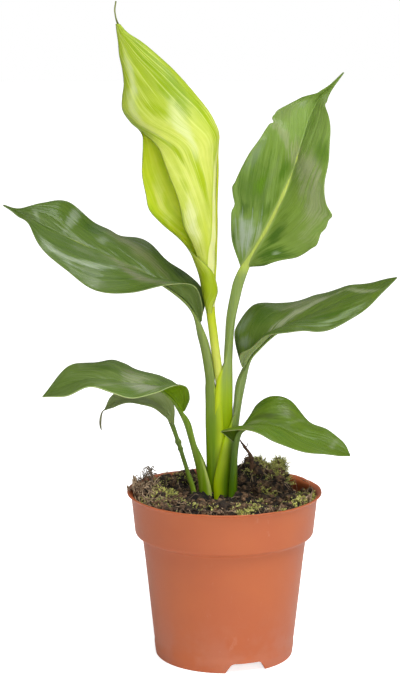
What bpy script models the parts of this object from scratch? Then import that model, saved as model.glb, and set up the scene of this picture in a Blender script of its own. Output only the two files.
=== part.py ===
"""A young bird of paradise plant in its nursery pot.

Seven leaves stand in one flat fan. Each leaf is one solid: a grooved stalk
that sheathes the younger ones at its foot, a midrib and a waved blade. The
stalks stand in a plain well in the soil, above a short rootstock.
All figures are millimetres, measured from the pot's axis and the ground.
"""
import bpy
import math
import random
from mathutils import Vector

MM = 0.001
AXIS_X = 14.5            # the pot's axis, right of the middle of the plant's spread

# The pot
LIP_R = 60.0             # outer radius of the thin lip
LIP_TOP = 103.6
LIP_T = 1.3
BAND_TOP_R = 57.6        # the plain band under the lip
BAND_LOW_R = 55.2
BAND_LOW = 79.0
BODY_TOP_R = 50.6        # the tapered body
FOOT_R = 42.7
WALL = 1.3
FLOOR = 6.5              # the raised floor's underside
FLOOR_T = 1.5
FOOT_RING_W = 2.2
NOTCH_H = 6.0
NOTCH_HALF = 12.5        # degrees at the top of a notch
NOTCHES = (19.0, 139.0, -101.0)
DRAIN_R = 4.0
DRAIN_RING = 24.0
DRAIN_HOLES = 6          # around one in the middle
POT_SIDES = 44

# The soil
SOIL_LEVEL = 97.5
SOIL_GAP = 0.6           # around the rootstock and the dry root
WALL_GAP = 0.6           # from the pot's round wall to the soil's corners
FLOOR_GAP = 0.35
SOIL_SIDES = 40
SOIL_RINGS = 9
WELL_FLOOR = 77.65

# Leaves
BLADE_T = 0.75
THIN_BELOW = 3.0         # half blades narrower than about twice this thin out inside the midrib
BLADE_ROWS = 18
BLADE_COLS = 3
RING_STEPS = 4           # steps along each face of a stalk's section

# Each leaf: left margin, midrib and right margin, seen from its upper face,
# at matching stations from the foot of the blade to the tip.
UPPER_LEFT = (
    ((-13.8, -1.2, 209.6), (-15.0, 1.0, 207.5), (-13.6, 3.2, 209.8)),
    ((-13.5, -5.5, 221.0), (-19.5, 1.0, 217.0), (-12.0, 6.5, 220.5)),
    ((-19.5, -12.5, 232.5), (-27.5, 1.0, 225.0), (-15.5, 14.0, 230.0)),
    ((-34.5, -20.5, 234.5), (-38.0, 1.0, 232.5), (-27.5, 20.5, 239.0)),
    ((-56.0, -23.5, 229.5), (-52.5, 1.0, 240.5), (-44.0, 23.5, 253.5)),
    ((-77.5, -22.5, 231.5), (-69.5, 1.0, 248.5), (-62.0, 24.5, 259.5)),
    ((-95.0, -20.5, 243.0), (-86.5, 1.0, 256.0), (-78.5, 22.0, 266.5)),
    ((-109.0, -16.0, 255.5), (-102.5, 1.0, 264.0), (-95.5, 15.5, 280.0)),
    ((-119.5, -8.5, 268.5), (-115.5, 1.0, 271.0), (-110.5, 7.5, 280.5)),
    ((-126.5, -1.0, 274.5), (-125.0, 1.0, 275.5), (-124.0, 2.0, 277.5)),
    ((-133.8, 0.7, 279.3), (-133.5, 1.0, 279.5), (-133.2, 1.3, 279.8)))
UPPER_RIGHT = (
    ((9.3, 1.0, 242.4), (11.5, 2.0, 242.0), (13.6, 1.0, 241.6)),
    ((4.0, -5.0, 260.0), (18.0, 0.0, 253.0), (27.5, -6.0, 245.5)),
    ((3.5, -13.0, 279.5), (25.5, -2.0, 266.5), (48.5, -12.0, 252.5)),
    ((6.5, -14.0, 297.0), (32.5, -3.0, 281.0), (60.0, -18.0, 268.0)),
    ((13.5, -13.0, 310.0), (39.0, -2.0, 296.0), (58.5, -20.5, 288.0)),
    ((20.5, -8.0, 320.5), (43.5, 2.0, 309.0), (59.5, -18.0, 305.0)),
    ((27.5, 1.0, 329.5), (47.5, 9.0, 321.0), (61.5, -10.0, 317.5)),
    ((32.0, 12.0, 336.0), (52.0, 18.0, 332.5), (61.5, 1.0, 332.0)),
    ((46.5, 20.0, 343.0), (58.0, 28.0, 342.0), (61.0, 16.0, 340.5)),
    ((62.0, 33.0, 348.5), (64.5, 36.0, 348.0), (66.5, 35.0, 347.5)),
    ((73.6, 45.6, 357.6), (74.0, 46.0, 357.5), (74.4, 46.0, 357.3)))
MID_RIGHT = (
    ((10.0, 4.3, 181.5), (12.0, 2.0, 179.5), (10.2, -0.3, 181.0)),
    ((6.5, 8.5, 193.5), (15.5, 2.0, 187.0), (9.5, -4.5, 189.0)),
    ((7.5, 13.5, 203.5), (21.0, 2.0, 193.0), (16.0, -12.0, 195.0)),
    ((17.5, 18.0, 216.0), (29.0, 2.0, 200.5), (26.0, -17.5, 203.0)),
    ((33.0, 21.5, 217.0), (40.0, 2.0, 207.0), (41.0, -20.0, 206.0)),
    ((48.0, 23.5, 218.5), (52.0, 2.0, 213.0), (56.0, -19.0, 205.5)),
    ((62.0, 21.5, 223.5), (65.0, 2.0, 219.0), (69.5, -15.0, 209.0)),
    ((76.0, 16.5, 228.5), (78.5, 2.0, 224.5), (82.5, -10.0, 216.0)),
    ((90.0, 9.5, 232.5), (92.0, 2.0, 230.0), (94.5, -4.5, 226.0)),
    ((104.3, 2.4, 235.7), (104.5, 2.0, 235.5), (104.7, 1.6, 235.3)))
LOWER_LEFT = (
    ((-24.0, -5.0, 154.5), (-25.5, -3.0, 153.0), (-24.2, -1.0, 154.7)),
    ((-21.0, -8.5, 163.0), (-29.0, -4.0, 158.5), (-24.0, 2.0, 164.5)),
    ((-23.5, -14.5, 171.0), (-33.0, -5.0, 163.5), (-28.0, 8.0, 168.0)),
    ((-32.0, -21.0, 173.0), (-38.0, -6.0, 167.5), (-35.0, 11.5, 171.0)),
    ((-42.5, -25.0, 169.0), (-46.5, -7.0, 170.5), (-44.5, 11.5, 174.5)),
    ((-55.0, -26.5, 166.5), (-58.5, -8.0, 172.5), (-57.0, 10.5, 178.5)),
    ((-68.5, -27.5, 170.5), (-71.0, -9.0, 174.5), (-69.0, 8.5, 183.5)),
    ((-82.0, -26.0, 173.0), (-83.0, -10.0, 175.0), (-83.5, 5.0, 183.0)),
    ((-96.0, -22.5, 167.0), (-97.0, -11.0, 171.0), (-96.5, -2.5, 180.5)),
    ((-110.5, -12.6, 164.3), (-110.5, -12.0, 164.5), (-110.4, -11.4, 164.9)))
LOWER_LEFT_SMALL = (
    ((-32.2, 10.4, 142.6), (-31.5, 12.0, 141.5), (-30.9, 13.6, 142.8)),
    ((-36.5, 8.5, 148.0), (-34.5, 14.5, 148.5), (-31.0, 20.0, 151.0)),
    ((-42.0, 6.5, 152.5), (-40.0, 17.5, 153.5), (-35.5, 27.5, 158.0)),
    ((-48.5, 6.5, 155.5), (-47.5, 20.0, 157.0), (-45.0, 33.0, 161.5)),
    ((-57.0, 9.0, 156.5), (-56.0, 22.0, 158.0), (-55.5, 34.0, 162.5)),
    ((-65.0, 14.5, 154.0), (-64.5, 24.0, 155.5), (-65.0, 32.5, 160.0)),
    ((-70.5, 19.5, 151.0), (-70.0, 25.0, 152.0), (-71.5, 29.5, 155.5)),
    ((-75.0, 25.4, 148.2), (-75.0, 26.0, 148.5), (-75.0, 26.6, 148.8)))
LOWER_RIGHT = (
    ((8.0, -7.8, 136.4), (6.5, -9.5, 135.0), (5.2, -11.2, 136.0)),
    ((11.5, -3.0, 142.0), (8.0, -10.0, 140.5), (0.0, -13.0, 141.0)),
    ((15.5, 1.5, 147.0), (11.0, -11.0, 144.5), (-2.0, -20.0, 145.0)),
    ((19.5, 1.5, 157.0), (16.5, -12.0, 147.0), (8.5, -27.5, 147.5)),
    ((28.5, -1.5, 162.5), (25.0, -13.0, 148.0), (20.0, -31.0, 146.0)),
    ((40.0, -2.5, 159.5), (35.5, -14.0, 145.5), (31.0, -31.5, 140.5)),
    ((52.0, -3.0, 146.5), (46.5, -15.0, 141.0), (43.0, -29.0, 135.0)),
    ((63.0, -8.0, 143.0), (58.0, -16.0, 137.0), (55.5, -26.0, 132.0)),
    ((72.0, -13.5, 137.0), (68.0, -17.0, 133.0), (66.5, -22.5, 130.0)),
    ((76.0, -17.5, 130.0), (76.0, -18.0, 129.5), (76.0, -18.5, 129.2)))

# The youngest leaf is still rolled. Each row is a level cut through the roll:
# x and y of its middle, height, half width, depth to the front and to the
# back, then the bearings of midrib, front margin and back margin, and how far
# the roll winds outward in one turn.
YOUNG_ROLL = (
    (-7.6, 0.0, 211.0, 2.8, 2.7, 2.7, -10, -110, 300, 0.50),
    (-7.8, 0.0, 218.0, 3.8, 3.5, 3.5, -12, -120, 330, 0.42),
    (-8.2, 0.0, 227.0, 5.1, 4.5, 4.5, -15, -130, 345, 0.38),
    (-9.7, 0.0, 236.5, 5.6, 5.2, 5.0, -15, -140, 332, 0.36),
    (-10.5, 0.0, 245.0, 6.2, 6.0, 5.2, -14, -140, 270, 0.34),
    (-11.7, 0.0, 252.5, 7.5, 7.0, 5.4, -14, -132, 208, 0.26),
    (-14.7, 0.0, 259.5, 10.6, 8.5, 5.4, -14, -116, 184, 0.10),
    (-20.1, 0.5, 268.0, 16.0, 10.5, 5.5, -13, -103, 180, 0.0),
    (-24.3, 0.5, 276.5, 19.9, 12.0, 6.0, -13, -94, 179, 0.0),
    (-26.2, 1.0, 286.0, 21.6, 13.0, 6.5, -13, -97, 178, 0.0),
    (-27.2, 1.5, 297.0, 22.7, 13.5, 7.0, -12, -105, 178, 0.0),
    (-27.0, 2.0, 306.5, 22.8, 13.5, 7.0, -8, -115, 178, 0.0),
    (-26.5, 2.5, 315.0, 23.0, 13.5, 7.0, 0, -127, 176, 0.0),
    (-26.9, 3.0, 322.0, 23.5, 13.0, 7.5, 12, -152, 172, 0.0),
    (-31.5, 3.5, 329.0, 25.4, 12.0, 7.5, 30, -176, 166, 0.0),
    (-35.8, 4.0, 336.0, 25.7, 10.5, 7.0, 45, -178, 158, 0.0),
    (-38.8, 4.5, 343.5, 22.9, 9.0, 6.0, 55, -178, 155, 0.0),
    (-41.7, 5.0, 351.5, 19.0, 7.5, 5.0, 62, -178, 152, 0.0),
    (-46.0, 5.5, 360.0, 15.5, 5.5, 4.0, 68, -177, 150, 0.0),
    (-51.5, 6.0, 368.5, 11.8, 4.0, 3.0, 72, -176, 148, 0.0),
    (-56.8, 6.5, 376.5, 7.2, 2.8, 2.4, 76, -174, 145, 0.0),
    (-61.4, 7.0, 382.0, 3.4, 2.0, 1.8, 80, -170, 140, 0.0),
    (-64.0, 7.4, 387.0, 1.4, 1.2, 1.2, 85, -160, 130, 0.0))

# Stalks from the soil up: x, y, z, half width across the fan, then how far
# the outer face, the groove's floor and the sheath's edges lie from the line.
STALKS = {
    "upper_left_leaf": (
        (-9.2, 0.0, 78.0, 5.2, 1.7, -1.6, -8.0),
        (-9.2, 0.0, 100.0, 5.4, 1.7, -1.6, -8.4),
        (-9.3, 0.0, 118.0, 5.4, 1.7, -1.6, -8.4),
        (-9.6, 0.0, 135.0, 5.0, 1.7, -1.6, -8.2),
        (-9.7, 0.2, 146.0, 4.4, 1.9, -1.8, -7.4),
        (-9.4, 0.4, 157.0, 3.6, 2.2, -1.9, -4.6),
        (-9.2, 0.6, 166.0, 2.9, 2.5, -1.9, -2.2),
        (-9.4, 0.8, 174.0, 2.6, 2.6, -1.9, -1.0),
        (-11.6, 1.0, 189.5, 2.6, 2.8, -1.9, -0.6),
        (-13.8, 1.0, 200.0, 2.7, 2.9, -1.9, -0.6)),
    "upper_right_leaf": (
        (2.3, 0.0, 78.0, 3.2, 1.9, -0.9, -2.0),
        (2.3, 0.0, 100.0, 3.3, 1.9, -0.9, -2.0),
        (2.5, 0.0, 135.0, 3.1, 1.9, -1.2, -1.8),
        (2.6, 0.0, 160.0, 3.0, 2.1, -1.6, -1.2),
        (2.3, 0.5, 173.0, 3.0, 2.4, -2.1, -0.8),
        (1.9, 1.0, 185.0, 3.0, 2.8, -2.2, -0.6),
        (2.6, 1.4, 197.0, 3.0, 2.8, -2.2, -0.6),
        (3.8, 1.7, 210.0, 3.1, 2.7, -2.1, -0.5),
        (6.3, 2.0, 223.0, 3.2, 2.6, -1.9, -0.4),
        (9.2, 2.0, 234.5, 3.2, 2.6, -1.7, -0.4)),
    "mid_right_leaf": (
        (6.4, 0.0, 78.0, 8.0, 1.7, -1.3, -12.2),
        (6.4, 0.0, 100.0, 8.1, 1.7, -1.3, -12.8),
        (6.4, 0.0, 111.0, 8.1, 1.7, -1.3, -12.9),
        (6.4, 0.0, 125.0, 7.6, 1.8, -1.3, -10.0),
        (6.5, 0.4, 136.0, 6.4, 1.9, -1.5, -7.4),
        (6.9, 0.8, 146.0, 4.4, 2.2, -1.8, -3.6),
        (8.0, 1.4, 158.0, 2.8, 2.5, -2.0, -1.0),
        (10.0, 2.0, 171.0, 2.5, 2.5, -2.0, -0.5)),
    "lower_right_leaf": (
        (4.8, -10.6, 78.0, 2.6, 1.8, -1.6, -0.8),
        (4.9, -10.6, 100.0, 2.6, 1.8, -1.6, -0.8),
        (5.6, -10.3, 116.0, 2.3, 1.9, -1.6, -0.6),
        (6.2, -9.9, 128.0, 2.1, 1.9, -1.6, -0.4)),
    "lower_left_leaf": (
        (-13.3, 0.0, 78.0, 5.8, 1.9, -1.6, -5.4),
        (-13.3, 0.0, 100.0, 6.0, 2.0, -1.6, -5.8),
        (-15.0, -0.5, 115.0, 5.0, 2.1, -1.8, -4.4),
        (-17.3, -1.4, 126.0, 3.6, 2.2, -1.8, -2.6),
        (-20.0, -2.3, 136.5, 2.5, 2.2, -1.8, -0.8),
        (-23.0, -2.9, 147.0, 2.4, 2.3, -1.8, -0.5)),
    "lower_left_small_leaf": (
        (-19.0, 2.0, 78.0, 3.4, 1.5, -1.1, -1.8),
        (-19.0, 2.0, 100.0, 3.4, 1.5, -1.1, -1.8),
        (-22.0, 4.0, 112.0, 2.4, 1.5, -1.2, -1.2),
        (-25.6, 7.0, 123.0, 1.5, 1.4, -1.2, -0.4),
        (-28.8, 10.0, 132.5, 1.4, 1.4, -1.2, -0.3)),
    "young_leaf": (
        (-3.3, 0.0, 78.0, 2.5, 2.6, -2.6, 0.0),
        (-3.3, 0.0, 100.0, 2.5, 2.7, -2.7, 0.0),
        (-3.0, 0.0, 135.0, 2.5, 2.7, -2.7, 0.0),
        (-2.6, 0.0, 160.0, 2.5, 2.7, -2.7, 0.0),
        (-3.2, 0.0, 173.0, 2.5, 2.7, -2.6, 0.0),
        (-5.6, 0.0, 189.0, 2.5, 2.7, -2.5, 0.0),
        (-7.4, 0.0, 202.0, 2.5, 2.6, -2.4, 0.0)),
}

# name, rails, bearing of the stalk's outer face, upward curl of each half
# (share of its width), ripple height and number of ripples along the margin
LEAVES = (
    ("upper_left_leaf", UPPER_LEFT, 180.0, -0.10, -0.08, 0.5, 5.0),
    ("upper_right_leaf", UPPER_RIGHT, 0.0, -0.08, -0.08, 0.8, 6.0),
    ("mid_right_leaf", MID_RIGHT, 0.0, -0.08, -0.10, 0.4, 5.0),
    ("lower_left_leaf", LOWER_LEFT, 180.0, -0.10, -0.08, 0.4, 4.0),
    ("lower_left_small_leaf", LOWER_LEFT_SMALL, 180.0, -0.06, -0.06, 0.3, 3.0),
    ("lower_right_leaf", LOWER_RIGHT, -60.0, -0.08, -0.08, 0.4, 4.0),
)


def clear_scene():
    for ob in list(bpy.data.objects):
        bpy.data.objects.remove(ob, do_unlink=True)


def enclosed(verts, faces):
    """Six times the signed volume inside the faces: negative if they face inwards."""
    total = 0.0
    for f in faces:
        a = Vector(verts[f[0]])
        for i in range(1, len(f) - 1):
            total += a.dot(Vector(verts[f[i]]).cross(Vector(verts[f[i + 1]])))
    return total


def finish(name, verts, faces):
    """A named object from points in millimetres around the pot's axis."""
    if enclosed(verts, faces) < 0:
        faces = [tuple(reversed(f)) for f in faces]
    mesh = bpy.data.meshes.new(name)
    mesh.from_pydata([((v[0] + AXIS_X) * MM, v[1] * MM, v[2] * MM) for v in verts], [], faces)
    mesh.update()
    ob = bpy.data.objects.new(name, mesh)
    bpy.context.scene.collection.objects.link(ob)
    return ob


def paint(ob, rgb, roughness):
    mat = bpy.data.materials.new(ob.name + "_finish")
    mat.use_nodes = True
    mat.diffuse_color = (rgb[0], rgb[1], rgb[2], 1.0)
    shader = mat.node_tree.nodes["Principled BSDF"]
    shader.inputs["Base Color"].default_value = (rgb[0], rgb[1], rgb[2], 1.0)
    shader.inputs["Roughness"].default_value = roughness
    shader.inputs["Metallic"].default_value = 0.0
    ob.data.materials.clear()
    ob.data.materials.append(mat)


def smooth_shade(ob, degrees):
    ob.data.shade_smooth()
    ob.data.set_sharp_from_angle(angle=math.radians(degrees))


def combine(ob, tool, operation):
    """Join or cut with a tool solid, apply it and remove the tool."""
    mod = ob.modifiers.new("boolean", "BOOLEAN")
    mod.object = tool
    mod.operation = operation
    mod.solver = "EXACT"
    bpy.context.view_layer.update()
    depsgraph = bpy.context.evaluated_depsgraph_get()
    mesh = bpy.data.meshes.new_from_object(ob.evaluated_get(depsgraph))
    ob.modifiers.clear()
    ob.data = mesh
    bpy.data.objects.remove(tool, do_unlink=True)


def smooth_at(rows, t):
    """A smooth curve through rows of numbers, at a share t of its length."""
    last = len(rows) - 1
    x = min(max(t, 0.0), 1.0) * last
    i = min(int(x), last - 1)
    u = x - i
    b = rows[i]
    c = rows[i + 1]
    a = rows[i - 1] if i > 0 else [2 * p - q for p, q in zip(b, c)]
    d = rows[i + 2] if i + 2 <= last else [2 * q - p for p, q in zip(b, c)]
    return [0.5 * (2 * q + (r - p) * u + (2 * p - 5 * q + 4 * r - s) * u * u
                   + (3 * q - p - 3 * r + s) * u ** 3) for p, q, r, s in zip(a, b, c, d)]


def rail(rails, side, t):
    return Vector(smooth_at([row[side] for row in rails], t))


def blade_point(leaf, t, s):
    """A point of the blade: t from its foot to the tip, s from -1 (right) to 1 (left)."""
    name, rails, bearing, curl_left, curl_right, ripple, waves = leaf
    rib = rail(rails, 1, t)
    edge = rail(rails, 0 if s > 0 else 2, t)
    if s == 0:
        return rib
    along = (rail(rails, 1, t + 0.02) - rail(rails, 1, t - 0.02)).normalized()
    out = edge - rib
    side = 1.0 if s > 0 else -1.0
    up = along.cross(out * side)
    up.normalize()
    share = abs(s)
    curl = curl_left if s > 0 else curl_right
    bow = 4.0 * share * (1.0 - share) * curl * out.length
    room = min(1.0, out.length / 8.0)
    wave = ripple * room * share ** 2 * math.sin(2 * math.pi * (waves * t + 0.3 * side))
    return rib + out * share - up * bow + up * wave


def roll_point(t, s):
    """A point of the rolled young blade, s from -1 (front margin) to 1 (back margin)."""
    cx, cy, z, wide, front, back, mid, near, far, wind = smooth_at(YOUNG_ROLL, t)
    turn = mid + (s * (far - mid) if s > 0 else -s * (near - mid))
    reach = 1.0 + wind * (turn - mid - 90.0) / 360.0
    a = math.radians(turn)
    deep = back if math.sin(a) > 0 else front
    return Vector((cx + wide * reach * math.cos(a), cy + deep * reach * math.sin(a), z))


def sheet(place, rows, cols, thickness):
    """A thin closed sheet laid through place(t, s), split alike on both faces."""
    grid = [[place(r / rows, c / cols) for c in range(-cols, cols + 1)] for r in range(rows + 1)]
    wide = 2 * cols + 1
    upper = []
    lower = []
    for r in range(rows + 1):
        reach = min((grid[r][0] - grid[r][cols // 2]).length,
                    (grid[r][-1] - grid[r][-1 - cols // 2]).length)
        thick = thickness * min(1.0, 0.08 + reach / THIN_BELOW)
        for c in range(wide):
            du = grid[min(r + 1, rows)][c] - grid[max(r - 1, 0)][c]
            dv = grid[r][min(c + 1, wide - 1)] - grid[r][max(c - 1, 0)]
            normal = du.cross(dv)
            normal.normalize()
            upper.append(grid[r][c] + normal * thick / 2)
            lower.append(grid[r][c] - normal * thick / 2)
    n = len(upper)
    faces = []
    for r in range(rows):
        for c in range(wide - 1):
            a = r * wide + c
            b = a + 1
            d = a + wide
            e = d + 1
            faces += [(a, d, e), (a, e, b), (a + n, e + n, d + n), (a + n, b + n, e + n)]
    border = [c for c in range(wide)]
    border += [r * wide + wide - 1 for r in range(1, rows + 1)]
    border += [rows * wide + c for c in range(wide - 2, -1, -1)]
    border += [r * wide for r in range(rows - 1, 0, -1)]
    for i, a in enumerate(border):
        b = border[(i + 1) % len(border)]
        faces += [(a, b, b + n), (a, b + n, a + n)]
    return upper + lower, faces


def stalk(stations, steps):
    """A closed stalk. Each station holds place, direction, outward side and section."""
    verts = []
    faces = []
    for place, along, outward, half, outer, inner, edge in stations:
        across = along.cross(outward)
        across.normalize()
        out = across.cross(along)
        out.normalize()
        hollow = min(1.0, max(0.0, inner - edge + 0.5))
        rim = hollow * min(0.7, half * 0.4)
        lip = (1.0 - hollow) * 0.12 * min(1.0, half)
        for k in range(steps + 1):
            a = math.pi * (k / steps - 0.5)
            reach = edge + lip + (outer - edge - lip) * math.cos(a)
            verts.append(place + across * half * math.sin(a) + out * reach)
        for k in range(steps, -1, -1):
            a = math.pi * (k / steps - 0.5)
            reach = edge - lip + (inner - edge + lip) * math.cos(a)
            verts.append(place + across * (half - rim) * math.sin(a) + out * reach)
    ring = 2 * (steps + 1)
    for r in range(len(stations) - 1):
        for k in range(ring):
            a = r * ring + k
            b = r * ring + (k + 1) % ring
            faces += [(a, b, b + ring), (a, b + ring, a + ring)]
    top = (len(stations) - 1) * ring
    for k in range(steps):
        p, q = k, k + 1
        u, v = ring - 2 - k, ring - 1 - k
        faces += [(p, v, u), (p, u, q)]
        faces += [(top + p, top + u, top + v), (top + p, top + q, top + u)]
    return verts, faces


def leaf_stations(rows, rib_rows, bearing):
    """Places and sections from the soil to the tip of the midrib."""
    rows = [list(r) for r in rows] + [list(p) + list(w) for p, out, w in rib_rows]
    a = math.radians(bearing)
    foot = Vector((math.cos(a), math.sin(a), 0.0))
    last = len(rows) - 1
    stalks = last - len(rib_rows)
    first_out = rib_rows[0][1]
    stations = []
    count = int(1.6 * last)
    for i in range(count + 1):
        t = i / count
        row = smooth_at(rows, t)
        ahead = Vector(smooth_at(rows, min(1.0, t + 0.01))[:3])
        behind = Vector(smooth_at(rows, max(0.0, t - 0.01))[:3])
        x = t * last
        if x <= stalks + 1:
            k = min(1.0, max(0.0, (x - 0.45 * stalks) / (0.55 * stalks + 1)))
            k = k * k * (3 - 2 * k)
            outward = foot.lerp(first_out, k)
        else:
            j = min(int(x) - stalks - 1, len(rib_rows) - 1)
            nxt = min(j + 1, len(rib_rows) - 1)
            outward = rib_rows[j][1].lerp(rib_rows[nxt][1], x - int(x))
        stations.append([Vector(row[:3]), (ahead - behind).normalized(), outward] + row[3:])
    return stations


def leaf_rib(leaf, shares):
    """Midrib stations under the blade: place, outward side, section."""
    rows = []
    for t in shares:
        rib = blade_point(leaf, t, 0)
        along = (blade_point(leaf, t + 0.02, 0) - blade_point(leaf, t - 0.02, 0)).normalized()
        left = blade_point(leaf, t, 0.5)
        right = blade_point(leaf, t, -0.5)
        down = -along.cross(left - right).normalized()
        if t > 0.9:
            down = rows[-1][1]
        size = (1.0 - t) ** 0.8
        half = 0.55 + 1.75 * size
        rows.append((rib, down, (half, 0.5 + 1.7 * size, -0.45 - 0.25 * size, -0.1)))
    return rows


def make_leaf(leaf):
    name, rails, bearing = leaf[:3]
    rib_rows = leaf_rib(leaf, (0.07, 0.2, 0.36, 0.54, 0.72, 0.88, 0.965))
    verts, faces = stalk(leaf_stations(STALKS[name], rib_rows, bearing), RING_STEPS)
    ob = finish(name, verts, faces)
    verts, faces = sheet(lambda t, s: blade_point(leaf, t, s), BLADE_ROWS, BLADE_COLS, BLADE_T)
    blade = finish(name + "_blade", verts, faces)
    combine(ob, blade, "UNION")
    return ob


def make_young_leaf():
    rib_rows = []
    for t, size in ((0.04, 1.0), (0.12, 0.95), (0.25, 0.85), (0.38, 0.75), (0.5, 0.62),
                    (0.62, 0.5), (0.75, 0.38), (0.88, 0.2), (0.975, 0.0)):
        rib = roll_point(t, 0)
        mid = math.radians(smooth_at(YOUNG_ROLL, t)[6])
        outward = Vector((math.cos(mid), math.sin(mid), 0.0))
        rib_rows.append((rib, outward, (0.7 + 1.5 * size, 0.6 + 1.3 * size, -0.45, 0.0)))
    outward = Vector((1.0, 0.0, 0.0))
    rib_rows.append((Vector((-65.6, 7.5, 393.5)), outward, (0.6, 0.5, -0.5, 0.0)))
    rib_rows.append((Vector((-65.0, 7.5, 400.5)), outward, (0.45, 0.4, -0.4, 0.0)))
    verts, faces = stalk(leaf_stations(STALKS["young_leaf"], rib_rows, 0.0), RING_STEPS)
    ob = finish("young_leaf", verts, faces)
    verts, faces = sheet(roll_point, 23, 7, BLADE_T)
    blade = finish("young_blade", verts, faces)
    combine(ob, blade, "UNION")
    return ob


def plug(name, outline, low, high, x, y):
    """A straight plug with the given outline around (x, y)."""
    n = len(outline)
    verts = [(x + p[0], y + p[1], low) for p in outline]
    verts += [(x + p[0], y + p[1], high) for p in outline]
    faces = [tuple(range(n - 1, -1, -1)), tuple(range(n, 2 * n))]
    faces += [(i, (i + 1) % n, (i + 1) % n + n, i + n) for i in range(n)]
    return finish(name, verts, faces)


def circle(radius, sides):
    return [(radius * math.cos(2 * math.pi * i / sides), radius * math.sin(2 * math.pi * i / sides))
            for i in range(sides)]


def make_pot():
    """Lip, plain band, rounded step, tapered body and a raised floor on a foot ring."""
    step = BAND_LOW - 2.6
    profile = [
        (LIP_R - 0.4, LIP_TOP - LIP_T), (LIP_R, LIP_TOP - LIP_T / 2), (LIP_R - 0.4, LIP_TOP),
        (BAND_TOP_R - WALL, LIP_TOP),
        (BAND_LOW_R - WALL - 0.1, BAND_LOW + 1.2), (BAND_LOW_R - WALL - 1.2, BAND_LOW - 0.4),
        (BODY_TOP_R - WALL, step - 1.0), (BODY_TOP_R - WALL - 0.6, step - 3.2),
        (FOOT_R - WALL + 0.7, FLOOR + FLOOR_T),
        (FOOT_R - FOOT_RING_W, FLOOR), (FOOT_R - FOOT_RING_W - 0.3, 0.0),
        (FOOT_R - 0.7, 0.0), (FOOT_R, 0.7),
        (BODY_TOP_R - 0.4, step - 2.8), (BODY_TOP_R + 0.1, step - 1.4), (BODY_TOP_R + 1.4, step - 0.2),
        (BAND_LOW_R - 1.2, BAND_LOW - 1.8), (BAND_LOW_R - 0.2, BAND_LOW - 0.7),
        (BAND_LOW_R + 0.1, BAND_LOW + 0.8),
        (BAND_TOP_R, LIP_TOP - LIP_T - 0.8), (BAND_TOP_R + 0.8, LIP_TOP - LIP_T)]
    verts = []
    faces = []
    n = len(profile)
    for i in range(POT_SIDES):
        a = 2 * math.pi * i / POT_SIDES
        verts += [(r * math.cos(a), r * math.sin(a), z) for r, z in profile]
    inner_floor = profile.index((FOOT_R - WALL + 0.7, FLOOR + FLOOR_T))
    for i in range(POT_SIDES):
        j = (i + 1) % POT_SIDES
        for k in range(n):
            if k == inner_floor:
                continue
            m = (k + 1) % n
            faces.append((i * n + k, j * n + k, j * n + m, i * n + m))
    faces.append(tuple(i * n + inner_floor for i in range(POT_SIDES)))
    faces.append(tuple(i * n + inner_floor + 1 for i in range(POT_SIDES - 1, -1, -1)))
    ob = finish("pot", verts, faces)
    for i in range(DRAIN_HOLES + 1):
        a = 2 * math.pi * i / DRAIN_HOLES
        reach = 0.0 if i == DRAIN_HOLES else DRAIN_RING
        hole = plug("hole", circle(DRAIN_R, 16), FLOOR - 2, FLOOR + FLOOR_T + 2,
                    reach * math.cos(a), reach * math.sin(a))
        combine(ob, hole, "DIFFERENCE")
    for bearing in NOTCHES:
        combine(ob, notch_cutter(bearing), "DIFFERENCE")
    return ob


def notch_cutter(bearing):
    """A sloping-sided gap in the foot ring, bearings from the front."""
    verts = []
    reach = ((FOOT_R - 8.0), (FOOT_R + 4.0))
    spread = ((-2.0, 1.14), (0.0, 1.1), (NOTCH_H - 1.5, 1.0), (NOTCH_H - 0.3, 0.88), (NOTCH_H, 0.78))
    for z, share in spread:
        for side in (-1, 1):
            a = math.radians(bearing - 90.0 + side * NOTCH_HALF * share)
            verts += [(r * math.cos(a), r * math.sin(a), z) for r in reach]
    faces = [(0, 1, 3, 2)]
    for k in range(len(spread) - 1):
        b = 4 * k
        faces += [(b, b + 4, b + 5, b + 1), (b + 1, b + 5, b + 7, b + 3),
                  (b + 3, b + 7, b + 6, b + 2), (b + 2, b + 6, b + 4, b)]
    b = 4 * (len(spread) - 1)
    faces.append((b, b + 2, b + 3, b + 1))
    return finish("notch", verts, faces)


def soil_lumps():
    """Crumbs and small heaps: place, reach and height of each."""
    draw = random.Random(11)
    lumps = [(27.0, 36.0, 13.0, 11.0), (16.0, 40.0, 9.0, 9.0), (38.0, 27.0, 9.0, 6.0),
             (-38.0, -22.0, 8.0, 4.5), (-46.0, -6.0, 7.0, 4.0), (-30.0, 34.0, 12.0, 4.0),
             (38.0, -26.0, 10.0, 3.0), (2.0, -42.0, 10.0, 2.5), (-20.0, -38.0, 8.0, 2.5)]
    for _ in range(60):
        a = draw.uniform(0, 2 * math.pi)
        r = 50.0 * math.sqrt(draw.uniform(0.04, 1.0))
        lumps.append((r * math.cos(a), r * math.sin(a), draw.uniform(3.5, 6.5), draw.uniform(-2.0, 3.0)))
    return lumps


def soil_height(x, y, lumps):
    z = SOIL_LEVEL - 1.5 * (math.hypot(x, y) / 50.0) ** 2 - 0.03 * y
    for cx, cy, reach, height in lumps:
        d = ((x - cx) ** 2 + (y - cy) ** 2) / reach ** 2
        if d < 6.0:
            z += height * math.exp(-d)
    return z


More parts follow.
